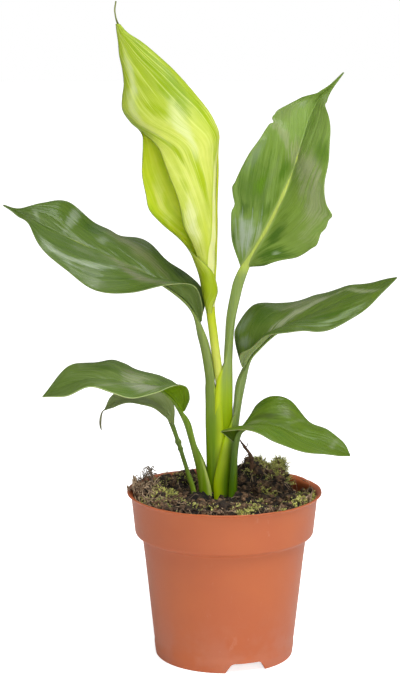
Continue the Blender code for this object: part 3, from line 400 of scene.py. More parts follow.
def outward(bm):
    """The mesh with its faces turned outward."""
    bmesh.ops.recalc_face_normals(bm, faces=bm.faces)
    return bm


def write_map(bm, name, uv_of):
    """Writes a UV map from a function of the vertex."""
    uv_map = bm.loops.layers.uv[name]
    for face in bm.faces:
        for loop in face.loops:
            loop[uv_map].uv = uv_of(loop.vert)


def joined(first, second):
    """Both meshes as one, with the second one's maps and material numbers kept."""
    scrap = bpy.data.meshes.new("scrap")
    second.to_mesh(scrap)
    second.free()
    first.from_mesh(scrap)
    bpy.data.meshes.remove(scrap)
    return first


def smooth_at(rows, t):
    """A smooth curve through rows of numbers, at a share t of its length."""
    last = len(rows) - 1
    x = min(max(t, 0.0), 1.0) * last
    i = min(int(x), last - 1)
    u = x - i
    b = rows[i]
    c = rows[i + 1]
    a = rows[i - 1] if i > 0 else [2 * p - q for p, q in zip(b, c)]
    d = rows[i + 2] if i + 2 <= last else [2 * q - p for p, q in zip(b, c)]
    return [0.5 * (2 * q + (r - p) * u + (2 * p - 5 * q + 4 * r - s) * u * u
                   + (3 * q - p - 3 * r + s) * u ** 3) for p, q, r, s in zip(a, b, c, d)]


def rail(rails, side, t):
    """A point of the left margin (0), midrib (1) or right margin (2)."""
    return Vector(smooth_at([row[side] for row in rails], t))


def direction(rows, t, gap):
    """Direction of a curve through rows that start with x, y and z."""
    return (Vector(smooth_at(rows, t + gap)[:3]) - Vector(smooth_at(rows, t - gap)[:3])).normalized()


def ease(low, high, x):
    """0 below low, 1 above high, and a soft step between them."""
    x = min(1.0, max(0.0, (x - low) / (high - low)))
    return x * x * (3 - 2 * x)


def bell(x, middle, spread):
    """1 at the middle, falling away on both sides."""
    return math.exp(-((x - middle) / spread) ** 2)


def around(angle, radius=1.0):
    """Offsets in x and y at a bearing in radians."""
    return radius * math.cos(angle), radius * math.sin(angle)


# Leaves

def blade_station(rails, t):
    """Margins, midrib and direction of a blade at a share t of its length."""
    along = rail(rails, 1, t + 0.02) - rail(rails, 1, t - 0.02)
    return rail(rails, 0, t), rail(rails, 1, t), rail(rails, 2, t), along.normalized()


def blade_point(leaf, station, t, s, nudges=()):
    """A point of the blade: s from -1 at the right margin to 1 at the left one."""
    curl_left, curl_right, ripple, waves = leaf[2:]
    left, rib, right, along = station
    if s == 0:
        return rib.copy()
    side = 1.0 if s > 0 else -1.0
    out = (left if s > 0 else right) - rib
    up = along.cross(out * side).normalized()
    share = abs(s)
    bow = 4.0 * share * (1.0 - share) * (curl_left if s > 0 else curl_right) * out.length
    room = min(1.0, out.length / 8.0)
    wave = ripple * room * share ** 2 * math.sin(2 * math.pi * (waves * t + 0.3 * side))
    push = sum(by * bell(t, mid, spread) for where, mid, spread, by in nudges if where == side)
    grown = 1.0 + push * share ** 3 / max(out.length, 1.0)
    return rib + out * share * grown - up * bow + up * wave


def roll_point(t, s):
    """A point of the rolled young blade, s from -1 (front margin) to 1 (back margin)."""
    cx, cy, z, wide, front, back, mid, near, far, wind = smooth_at(YOUNG_ROLL, t)
    turn = mid + (s * (far - mid) if s > 0 else -s * (near - mid))
    reach = 1.0 + wind * (turn - mid - 90.0) / 360.0
    a = math.radians(turn)
    deep = back if math.sin(a) > 0 else front
    return Vector((cx + wide * reach * math.cos(a), cy + deep * reach * math.sin(a), z))


def relief(point, s, t, reach, lift, seed):
    """Pleats along the veins, soft dents and the groove over the midrib."""
    start = t - lift * abs(s) ** VEIN_BEND       # where the vein leaves the midrib
    fade = ease(0.0, 3.0, reach) * ease(0.0, 0.12, 1.0 - abs(s)) * ease(0.0, 0.2, 0.96 - t)
    dent = noise.noise((point + Vector((seed, 0.0, 0.0))) / 15.0)
    pleat = noise.noise(Vector((start * 24.0 + seed, s * 1.3, seed)))
    fine = noise.noise(Vector((start * 70.0 + seed, s * 1.5, seed)))
    groove = -0.22 * math.exp(-(reach / 1.1) ** 2) * ease(0.0, 0.2, 0.96 - t)
    return (0.75 * dent + 0.34 * pleat + 0.10 * fine) * fade + groove


def crease(name, s, t):
    """The fold where the upper right leaf creases and its end leans back."""
    if name != "upper_right_leaf":
        return 0.0
    off = (t - 0.49 - 0.13 * s) / 0.022
    return -0.75 * math.exp(-off * off) * ease(-0.7, 0.3, s) * (1.0 - 0.7 * ease(0.0, 0.3, s - 0.65))


def sheet_reach(across):
    """How far each vertex of a sheet lies from its midrib and from its margin."""
    reach = {}
    for line in across.values():
        order = sorted(line)
        middle = order.index(0.0)
        for side in (order[middle:], order[middle::-1]):
            far = 0.0
            lengths = []
            for i, s in enumerate(side):
                far += (line[s].co - line[side[i - 1]].co).length if i else 0.0
                lengths.append(far)
            for s, length in zip(side, lengths):
                reach[line[s]] = (length, far - length)
    return reach


def thin_sheet(place, relief_at, columns, rows, flip):
    """A thin closed sheet: material 0 above, 1 below and 2 on its rim."""
    bm = bmesh.new()
    bm.loops.layers.uv.new("Share")
    bm.loops.layers.uv.new("Reach")
    bmesh.ops.create_grid(bm, x_segments=columns, y_segments=rows, size=0.5)
    shares = {}
    across = {}
    for v in bm.verts:
        s = (2.0 * v.co.x) * (-1.0 if flip else 1.0)
        s = round(s * columns / 2) * 2.0 / columns
        r = round((v.co.y + 0.5) * rows)
        shares[v] = (s, r / rows)
        across.setdefault(r, {})[s] = v
        v.co = place(s, r)
    reach = sheet_reach(across)
    bm.normal_update()
    moved = {v: v.co + v.normal * relief_at(v.co, *shares[v], reach[v][0]) for v in bm.verts}
    for v, co in moved.items():
        v.co = co
    write_map(bm, "Share", shares.get)
    write_map(bm, "Reach", reach.get)
    bm.normal_update()
    lift = {tuple(v.co): v.normal.copy() for v in bm.verts}
    body = bmesh.ops.extrude_face_region(bm, geom=bm.faces[:], use_keep_orig=True)
    below = [g for g in body["geom"] if isinstance(g, bmesh.types.BMFace)]
    for v in [g for g in body["geom"] if isinstance(g, bmesh.types.BMVert)]:
        v.co -= lift[tuple(v.co)] * BLADE_T
    for face in bm.faces:
        face.material_index = 2
    for face in below:
        face.material_index = 1
    for face in bm.faces:
        if all(tuple(v.co) in lift for v in face.verts):
            face.material_index = 0
    return outward(bm)


def stalk_tube(stations, knots=()):
    """A closed stalk and midrib. Each station: place, direction, outward side, section."""
    rows = len(stations) - 1
    ring = 2 * (STALK_STEPS + 1)
    bm = bmesh.new()
    bm.loops.layers.uv.new("Share")
    bm.loops.layers.uv.new("Reach")
    bmesh.ops.create_grid(bm, x_segments=ring, y_segments=rows, size=0.5)
    shares = {}
    reaches = {}
    for v in bm.verts:
        k = round((v.co.x + 0.5) * ring)
        r = round((v.co.y + 0.5) * rows)
        place, along, outside, half, outer, inner, edge = stations[r]
        swell = 1.0 + sum(by * bell(place.z, z, spread) for z, spread, by in knots)
        half, outer, inner, edge = [size * swell for size in (half, outer, inner, edge)]
        across = along.cross(outside).normalized()
        out = across.cross(along).normalized()
        hollow = min(1.0, max(0.0, inner - edge + 0.5))
        rim = hollow * min(0.7, half * 0.4)
        lip = (1.0 - hollow) * 0.12 * min(1.0, half)
        j = k % ring
        if j <= STALK_STEPS:
            a = math.pi * (j / STALK_STEPS - 0.5)
            reach = edge + lip + (outer - edge - lip) * math.cos(a)
            v.co = place + across * half * math.sin(a) + out * reach
        else:
            a = math.pi * ((ring - 1 - j) / STALK_STEPS - 0.5)
            reach = edge - lip + (inner - edge + lip) * math.cos(a)
            v.co = place + across * (half - rim) * math.sin(a) + out * reach
        from_edge = max(half, outer - edge) * (math.pi / 2 - abs(a))
        shares[v] = (1.0 if j <= STALK_STEPS else -1.0, r / rows)
        reaches[v] = (from_edge, inner - edge)
    write_map(bm, "Share", shares.get)
    write_map(bm, "Reach", reaches.get)
    bmesh.ops.remove_doubles(bm, verts=bm.verts, dist=0.0001)
    bmesh.ops.holes_fill(bm, edges=[e for e in bm.edges if e.is_boundary], sides=0)
    for face in bm.faces:
        face.material_index = 3
    return outward(bm)


def stalk_stations(rows, rib_rows, bearing, count):
    """Places and sections from the soil to the tip of the midrib."""
    rows = [list(row) for row in rows] + [list(place) + list(section) for place, _, section in rib_rows]
    foot = Vector((*around(math.radians(bearing)), 0.0))
    last = len(rows) - 1
    stalks = last - len(rib_rows)
    stations = []
    for i in range(count + 1):
        t = i / count
        row = smooth_at(rows, t)
        x = t * last
        if x <= stalks + 1:
            turned = ease(0.0, 1.0, (x - 0.45 * stalks) / (0.55 * stalks + 1))
            outside = foot.lerp(rib_rows[0][1], turned)
        else:
            j = min(int(x) - stalks - 1, len(rib_rows) - 1)
            following = min(j + 1, len(rib_rows) - 1)
            outside = rib_rows[j][1].lerp(rib_rows[following][1], x - int(x))
        stations.append([Vector(row[:3]), direction(rows, t, 0.01), outside] + row[3:])
    return stations


def midrib_rows(leaf, raised):
    """Midrib rows under the blade, raised above it up to a share: place, outer side, section."""
    rows = []
    for t in RIB_SHARES:
        station = blade_station(leaf[0], t)
        across = blade_point(leaf, station, t, 0.5) - blade_point(leaf, station, t, -0.5)
        down = -station[3].cross(across).normalized()
        if t > 0.9:
            down = rows[-1][1]
        size = (1.0 - t) ** 0.8
        ridge = ease(raised + 0.12, raised - 0.02, t) if raised else 0.0
        rows.append((station[1], down, (0.55 + 1.75 * size, 0.6 + 1.7 * size,
                                        0.34 - (0.79 + 0.25 * size) * ridge, 0.36 - 0.46 * ridge)))
    return rows


def open_leaf(name, seed, materials):
    """One grown leaf: stalk, midrib and waved blade."""
    leaf = LEAVES[name]
    stations = [blade_station(leaf[0], r / BLADE_ROWS) for r in range(BLADE_ROWS + 1)]
    sheet = thin_sheet(
        lambda s, r: blade_point(leaf, stations[r], r / BLADE_ROWS, s, NUDGES[name]),
        lambda co, s, t, reach: relief(co, s, t, reach, FIRST_LIFT, seed) + crease(name, s, t),
        2 * BLADE_COLS, BLADE_ROWS, True)
    rib_rows = midrib_rows(leaf, RAISED_RIBS.get(name, 0.0))
    tube = stalk_tube(stalk_stations(STALKS[name], rib_rows, leaf[1], STALK_ROWS), KNOTS.get(name, ()))
    piece(name + "_fine", joined(sheet, tube), materials, [name])


def rolled_leaf(materials):
    """The youngest leaf: a round stalk and a blade that is still rolled round its midrib."""
    rows = int(BLADE_ROWS * 1.3)
    sheet = thin_sheet(
        lambda s, r: roll_point(r / rows, s),
        lambda co, s, t, reach: relief(co, s, t, reach, YOUNG_LIFT, 31.0) * min(0.6, 2.0 * t),
        2 * BLADE_COLS + 8, rows, False)
    rib_rows = []
    for t, size in YOUNG_RIB:
        bearing = math.radians(smooth_at(YOUNG_ROLL, t)[6])
        section = (0.7 + 1.5 * size, 0.3 + 0.5 * size, -0.45, 0.0)
        rib_rows.append((roll_point(t, 0), Vector((*around(bearing), 0.0)), section))
    for place, half in zip(YOUNG_THREAD, (0.6, 0.45)):
        rib_rows.append((Vector(place), Vector((1.0, 0.0, 0.0)), (half, 0.45, -0.45, 0.0)))
    tube = stalk_tube(stalk_stations(STALKS["young_leaf"], rib_rows, 0.0, YOUNG_STALK_ROWS))
    piece("young_leaf_fine", joined(sheet, tube), materials, ["young_leaf"])


# The pot

def arc(cx, cz, radius, start, end, count):
    """Points of a round stretch of an outline, angles in degrees from outward."""
    points = []
    for i in range(count + 1):
        a = math.radians(start + (end - start) * i / count)
        points.append((cx + radius * math.cos(a), cz + radius * math.sin(a)))
    return points


def pot_outline():
    """Half section of the pot from the outside of its foot over the lip to its axis."""
    step = BAND_LOW - BAND_STEP
    ring = FOOT_R - FOOT_RING_W
    under_lip = LIP_TOP - LIP_T
    outer = [(0.0, FLOOR), (ring - 0.3, FLOOR), (ring, FLOOR - 0.3), (ring, 0.3), (ring + 0.3, 0.0)]
    outer += arc(FOOT_R - 0.9, 0.9, 0.9, -90, 4, 5)
    lean = (BODY_TOP_R - FOOT_R) / (step - 2.8)
    outer += [(FOOT_R + lean * z, z) for z in (4.0, NOTCH_H + 1.4)]
    outer += [(FOOT_R + lean * 8.2 - 0.35, 8.2)]
    outer += [(FOOT_R + lean * z - 0.25, z) for z in (12.0, 20.0, 40.0, 60.0)]
    outer += [(BODY_TOP_R - 0.35, step - 5.0), (BODY_TOP_R - 0.15, step - 2.6),
              (BODY_TOP_R + 0.15, step - 1.6), (BODY_TOP_R + 0.75, step - 0.75),
              (BODY_TOP_R + 1.7, step - 0.15)]
    outer += arc(BAND_LOW_R - 2.5, BAND_LOW - 0.1, 2.5, -68, 0, 7)
    flare = (BAND_TOP_R - BAND_LOW_R) / (under_lip - BAND_LOW)
    outer += [(BAND_LOW_R + flare * z, BAND_LOW + z) for z in (3.0, 12.0, 21.0)]
    outer += [(BAND_TOP_R + 0.15, under_lip - 1.4), (BAND_TOP_R + 0.55, under_lip - 0.7),
              (BAND_TOP_R + 1.2, under_lip - 0.1)]
    outer += arc(LIP_R - 0.34, LIP_TOP - 0.60, 0.34, -70, 90, 7)
    outer += [(BAND_TOP_R + 1.5, LIP_TOP - 0.35), (BAND_TOP_R + 0.9, LIP_TOP - 0.55)]
    inner = [(BAND_TOP_R + 0.2, LIP_TOP - 1.1), (BAND_TOP_R - WALL + 0.55, LIP_TOP - 1.9),
             (BAND_TOP_R - WALL + 0.05, LIP_TOP - 3.0), (BAND_TOP_R - WALL - 0.15, LIP_TOP - 5.0),
             (BAND_LOW_R - WALL - 0.1, BAND_LOW + 1.2), (BAND_LOW_R - WALL - 1.2, BAND_LOW - 0.4),
             (BODY_TOP_R - WALL, step - 1.0), (BODY_TOP_R - WALL - 0.6, step - 3.2),
             (FOOT_R - WALL + 0.8, FLOOR + FLOOR_T + 1.0), (FOOT_R - WALL - 0.3, FLOOR + FLOOR_T),
             (0.0, FLOOR + FLOOR_T)]
    return outer + inner


def cut(ob, cutter):
    """Takes a cutter solid out of a piece and removes the cutter."""
    mod = ob.modifiers.new("cut", "BOOLEAN")
    mod.object = cutter
    mod.operation = "DIFFERENCE"
    mod.solver = "EXACT"
    bpy.context.view_layer.update()
    mesh = bpy.data.meshes.new_from_object(ob.evaluated_get(bpy.context.evaluated_depsgraph_get()))
    ob.modifiers.clear()
    ob.data = mesh
    bpy.data.objects.remove(cutter, do_unlink=True)


def notch_cutter(bearing):
    """A block with rounded, leaning upper corners, laid through the foot ring."""
    bm = bmesh.new()
    bmesh.ops.create_cube(bm, size=1.0)
    half = (FOOT_R - 2.0) * math.sin(math.radians(NOTCH_HALF))
    for v in bm.verts:
        share = 1.05 if v.co.z > 0 else 1.62
        v.co = Vector((v.co.x * 2 * half * share, v.co.y * 12.0, NOTCH_H if v.co.z > 0 else -2.0))
    corners = [e for e in bm.edges
               if all(v.co.z > 0 for v in e.verts) and abs(e.verts[0].co.y - e.verts[1].co.y) > 1.0]
    bmesh.ops.bevel(bm, geom=corners, offset=1.6, segments=5, profile=0.5, affect="EDGES", material=-1)
    bmesh.ops.translate(bm, verts=bm.verts, vec=(0.0, -(FOOT_R - 1.5), 0.0))
    bmesh.ops.rotate(bm, verts=bm.verts, matrix=Matrix.Rotation(math.radians(bearing), 3, "Z"))
    return mesh_object("notch", outward(bm))


def drain_cutter(x, y):
    """A round pin through the pot's floor."""
    bm = bmesh.new()
    bmesh.ops.create_cone(bm, cap_ends=True, segments=32, radius1=DRAIN_R, radius2=DRAIN_R,
                          depth=FLOOR_T + 4.0)
    bmesh.ops.translate(bm, verts=bm.verts, vec=(x, y, FLOOR + FLOOR_T / 2))
    return mesh_object("drain", outward(bm))


def warp_lip(bm):
    """The moulded lip isn't quite level or round."""
    for v in bm.verts:
        if v.co.z > LIP_TOP - 2.5:
            a = math.atan2(v.co.y, v.co.x)
            uneven = noise.noise(Vector((*around(a, 3.0), 5.0)))
            uneven += 0.5 * noise.noise(Vector((*around(a, 11.0), 2.0)))
            out = ease(BAND_TOP_R - 1.0, LIP_R, v.co.xy.length)
            v.co.z += 0.55 * uneven * out - 0.25 * out
            v.co.xy *= 1.0 + 0.004 * uneven * out


def nursery_pot(material):
    """The pot, spun from its outline, with drain holes and foot notches cut out."""
    bm = bmesh.new()
    points = [bm.verts.new((r, 0.0, z)) for r, z in pot_outline()]
    lines = [bm.edges.new(pair) for pair in zip(points, points[1:])]
    bmesh.ops.spin(bm, geom=points + lines, axis=(0, 0, 1), cent=(0, 0, 0), dvec=(0, 0, 0),
                   angle=2 * math.pi, steps=POT_STEPS, use_merge=True)
    bmesh.ops.remove_doubles(bm, verts=bm.verts, dist=0.001)
    warp_lip(bm)
    ob = piece("nursery_pot", outward(bm), [material], replaced=["pot"])
    for i in range(DRAIN_HOLES):
        cut(ob, drain_cutter(*around(2 * math.pi * i / DRAIN_HOLES, DRAIN_RING)))
    cut(ob, drain_cutter(0.0, 0.0))
    for bearing in NOTCHES:
        cut(ob, notch_cutter(bearing))
    ob.data.shade_smooth()
    ob.data.set_sharp_from_angle(angle=math.radians(38))


# The soil and what lies on it

def soil_lumps():
    """Heaps and crumbs: place, reach and height of each."""
    draw = random.Random(11)
    lumps = list(HEAPS)
    for _ in range(60):
        a = draw.uniform(0, 2 * math.pi)
        r = 50.0 * math.sqrt(draw.uniform(0.04, 1.0))
        lumps.append((*around(a, r), draw.uniform(3.5, 6.5), draw.uniform(-2.0, 3.0)))
    return lumps


LUMPS = soil_lumps()


def soil_height(x, y):
    """The soil's height with its lumps, before banks and grains."""
    z = SOIL_LEVEL - SOIL_DROP * (math.hypot(x, y) / 50.0) ** 2 - SOIL_LEAN * y
    for cx, cy, reach, height in LUMPS:
        d = ((x - cx) ** 2 + (y - cy) ** 2) / reach ** 2
        if d < LUMP_END:
            z += height * math.exp(-d)
    return z


def clods(x, y):
    """How far clods and grains rise above the soil or sink into it."""
    p = Vector((x, y, 0.0))
    return sum(noise.noise(p / size + Vector(shift)) * height for size, shift, height in CLOD_SIZES)


def rough_height(x, y):
    """The soil's height with its banks, clods and grains."""
    banked = sum(by * math.exp(-((x - cx) ** 2 + (y - cy) ** 2) / reach ** 2) for cx, cy, reach, by in BANKS)
    return soil_height(x, y) + banked + clods(x, y)


def inner_wall(z):
    """Radius of the pot's inner wall at a height."""
    step = BAND_LOW - BAND_STEP
    rows = ((FLOOR + FLOOR_T, FOOT_R - WALL + 0.7), (step - 3.2, BODY_TOP_R - WALL - 0.6),
            (step - 1.0, BODY_TOP_R - WALL), (BAND_LOW - 0.4, BAND_LOW_R - WALL - 1.2),
            (BAND_LOW + 1.2, BAND_LOW_R - WALL - 0.1), (LIP_TOP, BAND_TOP_R - WALL))
    for (z0, r0), (z1, r1) in zip(rows, rows[1:]):
        if z <= z1:
            return r0 + (r1 - r0) * (z - z0) / (z1 - z0)
    return rows[-1][1]


def potting_soil(material):
    """The root ball: rough on top, smooth where the pot's wall held it."""
    bm = bmesh.new()
    bmesh.ops.create_grid(bm, x_segments=SOIL_TURNS, y_segments=SOIL_RINGS, size=0.5)
    rim = inner_wall(95.0) - SOIL_GAP
    for v in bm.verts:
        r = rim * (0.5 - v.co.y) + 0.01
        x, y = around(2 * math.pi * (v.co.x + 0.5), r)
        z = rough_height(x, y)
        v.co = Vector((x, y, min(z, EDGE_HEIGHT) if r > rim - 1.0 else z))
    bmesh.ops.remove_doubles(bm, verts=bm.verts, dist=0.02)
    rim_edges = [e for e in bm.edges if e.is_boundary and e.verts[0].co.xy.length > 30.0]
    for z in (BAND_LOW + 1.2, BAND_LOW - 0.4, BAND_LOW - 3.6, BAND_LOW - 5.8, FLOOR + FLOOR_T + 0.2):
        wall = bmesh.ops.extrude_edge_only(bm, edges=rim_edges)["geom"]
        for v in [g for g in wall if isinstance(g, bmesh.types.BMVert)]:
            flat = v.co.xy.normalized() * (inner_wall(z) - SOIL_GAP)
            v.co = Vector((flat.x, flat.y, z))
        rim_edges = [g for g in wall if isinstance(g, bmesh.types.BMEdge)]
    bmesh.ops.holes_fill(bm, edges=[e for e in bm.edges if e.is_boundary], sides=0)
    outward(bm)
    bm.loops.layers.uv.new("Relief")
    write_map(bm, "Relief", lambda v: (clods(v.co.x, v.co.y), 0.0))
    piece("potting_soil", bm, [material], ["soil"])


def on_soil(draw, outer, least):
    """A drawn place on the soil, clear of the stalks and not in a hollow deeper than least."""
    x0, x1, y0, y1 = STALKS_BOX
    while True:
        a = draw.uniform(0, 2 * math.pi)
        x, y = around(a, math.sqrt(draw.uniform(0.0, outer ** 2)))
        if not (x0 < x < x1 and y0 < y < y1) and clods(x, y) > least:
            return x, y


def crumb(bm, draw, place, size, detail):
    """One rough crumb, sunk a little into the soil."""
    ball = bmesh.ops.create_icosphere(bm, subdivisions=detail, radius=1.0)["verts"]
    spread = Vector((draw.uniform(0.8, 1.4), draw.uniform(0.6, 1.1), draw.uniform(0.5, 0.9))) * size
    turn = Matrix.Rotation(draw.uniform(0, 6.3), 3, "Z") @ Matrix.Rotation(draw.uniform(-0.9, 0.9), 3, "X")
    seed = draw.uniform(0, 90)
    for v in ball:
        rough = 1.0 + 0.75 * noise.noise(v.co * 1.7 + Vector((seed, 0, 0)))
        if detail > 2:
            rough += 0.35 * noise.noise(v.co * 5.0 + Vector((0, seed, 0)))
        v.co = place + turn @ (v.co * spread * rough)


def scatter(name, seed, count, sizes, material, outer=LOOSE_R, least=-0.35, lift=0.25, detail=2):
    """Crumbs or larger, fissured clods. Only the clods are shaded smooth."""
    draw = random.Random(seed)
    bm = bmesh.new()
    for _ in range(count):
        x, y = on_soil(draw, outer, least)
        size = draw.uniform(*sizes)
        crumb(bm, draw, Vector((x, y, rough_height(x, y) + lift * size)), size, detail)
    piece(name, bm, [material], smooth=detail > 2)


def thread(bm, points, radii, sides=5):
    """A closed, tapering thread through a few points."""
    before = len(bm.verts)
    tube = bmesh.ops.create_cone(bm, cap_ends=True, segments=sides, radius1=1.0, radius2=1.0, depth=1.0)
    feet = [v for v in tube["verts"] if v.co.z < 0.0]
    long_edges = [e for v in feet for e in v.link_edges if e.other_vert(v).co.z > 0.0]
    bmesh.ops.subdivide_edges(bm, edges=long_edges, cuts=3 * len(points) - 4)
    bm.verts.ensure_lookup_table()
    for v in bm.verts[before:]:
        t = min(1.0, max(0.0, v.co.z + 0.5))
        across, up = around(math.atan2(v.co.y, v.co.x))
        along = direction(points, t, 0.02)
        side = along.cross(Vector((0.31, 0.17, 0.93))).normalized()
        radius = smooth_at([(r,) for r in radii], t)[0]
        v.co = Vector(smooth_at(points, t)) + (side * across + along.cross(side) * up) * radius


def root_points(draw, x, y, low, high, stride, curl, limit):
    """Points of one curled root that wanders over the soil."""
    heading = draw.uniform(0, 2 * math.pi)
    rise = draw.uniform(low, high)
    points = []
    for _ in range(5):
        flat = math.hypot(x, y)
        if flat > limit:
            x, y = x * limit / flat, y * limit / flat
        ground = LIP_TOP + 0.3 if flat > ON_LIP_R else rough_height(x, y)
        points.append((x, y, ground + rise * (0.3 + 0.9 * draw.random())))
        heading += draw.uniform(-curl, curl)
        across, back = around(heading, stride * draw.uniform(0.6, 1.4))
        x += across
        y += back
    return points


def root_tangle(name, seed, material, plans):
    """Thin curled roots, drawn by their plans."""
    draw = random.Random(seed)
    bm = bmesh.new()
    for count, (mx, my), spread, low, high, stride, curl, thick, limit in plans:
        for _ in range(count):
            x = draw.gauss(mx, spread)
            y = draw.gauss(my, spread)
            points = root_points(draw, x, y, low, high, stride, curl, limit)
            width = thick * draw.uniform(0.6, 1.4)
            thread(bm, points, [width * share for share in (0.9, 1.0, 0.8, 0.6, 0.3)])
    piece(name, outward(bm), [material])


def curled_sprig(material):
    """The dry, curled sprig that stands up at the left of the pot."""
    draw = random.Random(41)
    bm = bmesh.new()
    for _ in range(10):
        x = SPRIG_PLACE[0] + draw.uniform(-3, 3)
        y = SPRIG_PLACE[1] + draw.uniform(-3, 3)
        z = rough_height(x, y) - 0.8
        turn = draw.uniform(0, 6.3)
        tall = draw.uniform(*SPRIG_TALL)
        points = []
        for k in range(9):
            share = k / 8
            across, back = around(turn + 6.5 * share, 3.6 * share ** 1.6)
            bent = 0.45 * max(0.0, share - 0.7) / 0.3
            points.append((x + across, y + back, z + tall * (share - bent)))
        thread(bm, points, SPRIG_RADII)
    piece("curled_sprig", outward(bm), [material])


def straw_bits(material):
    """A few pale bits of straw lying by the stalks and on the heap."""
    draw = random.Random(5)
    bm = bmesh.new()
    for start, end in STRAWS:
        bend = Vector((draw.uniform(-1, 1), 0, draw.uniform(0.2, 1.0)))
        middle = (Vector(start) + Vector(end)) / 2 + bend
        thread(bm, (start, tuple(middle), end), (0.35, 0.42, 0.3))
    piece("straw_bits", outward(bm), [material])


def dead_root(material):
    """The gnarled dead root that sticks up out of the heap."""
    bm = bmesh.new()
    for points, radii, sides in DEAD_ROOT:
        thread(bm, points, radii, sides)
    outward(bm)
    bmesh.ops.subdivide_edges(bm, edges=bm.edges, cuts=1)
    for v in bm.verts:
        v.co += v.normal * 0.22 * noise.noise(v.co * 1.1)
    piece("dead_root", bm, [material], ["dry_root"])


def dried_tip(material):
    """The withered thread that hangs from the small leaf's tip."""
    bm = bmesh.new()
    thread(bm, DRIED_TIP, (0.4, 0.45, 0.7, 0.75, 0.3), 8)
    piece("dried_tip", outward(bm), [material])


def moss_leaf(bm, tint_map, tint, base, along, out, length, width):
    """One pointed moss leaf as a thin wedge."""
    side = along.cross(out).normalized() * width
    tip = base + along * length * 0.6 + out * length * 0.8
    a = bm.verts.new(base - side)
    b = bm.verts.new(base + side)
    c = bm.verts.new(tip)
    d = bm.verts.new(base + out * width * 0.9 - along * width * 0.4)
    for corners in ((a, b, c), (a, c, d), (b, d, c), (a, d, b)):
        for loop in bm.faces.new(corners).loops:
            loop[tint_map].uv = (tint[0] + (0.15 if loop.vert is c else 0.0), tint[1])


def moss_tuft(bm, tint_map, draw, x, y, spread, shoots, height):
    """A tuft of short leafy shoots that lean away from its middle."""
    for _ in range(shoots):
        own = draw.random()
        a = draw.uniform(0, 2 * math.pi)
        r = spread * math.sqrt(draw.random())
        px, py = x + r * math.cos(a), y + r * math.sin(a)
        if math.hypot(px, py) > ON_LIP_R or clods(px, py) < MOSS_LEAST:
            continue
        base = Vector((px, py, rough_height(px, py) - 0.4))
        lean = Vector((math.cos(a) * r / spread, math.sin(a) * r / spread, 0.0)) * 0.8
        lean += Vector((draw.uniform(-0.9, 0.9), draw.uniform(-0.9, 0.9), 0.0))
        along = (Vector((0, 0, 1.0)) + lean).normalized()
        tall = height * draw.uniform(0.5, 1.2) * (1.0 - 0.4 * r / spread)
        steps = max(5, int(tall * 3.6))
        for k in range(steps):
            share = k / steps
            turn = k * 2.4 + a
            flat = Vector((math.cos(turn), math.sin(turn), 0.0))
            out = (flat - along * flat.dot(along)).normalized()
            droop = Vector((lean.x, lean.y, 0.0)) * share * share * tall * 0.35
            place = base + along * tall * share + droop
            size = (1.05 - 0.35 * share) * draw.uniform(0.75, 1.2)
            moss_leaf(bm, tint_map, (share, own), place, along, out, size, 0.36)


def moss_patch(name, seed, tufts, material):
    """One kind of moss, tuft by tuft."""
    draw = random.Random(seed)
    bm = bmesh.new()
    tint_map = bm.loops.layers.uv.new("Tint")
    for x, y, spread, shoots, height in tufts:
        moss_tuft(bm, tint_map, draw, x, y, spread, shoots, height)
    piece(name, outward(bm), [material], smooth=False)


# Node helpers

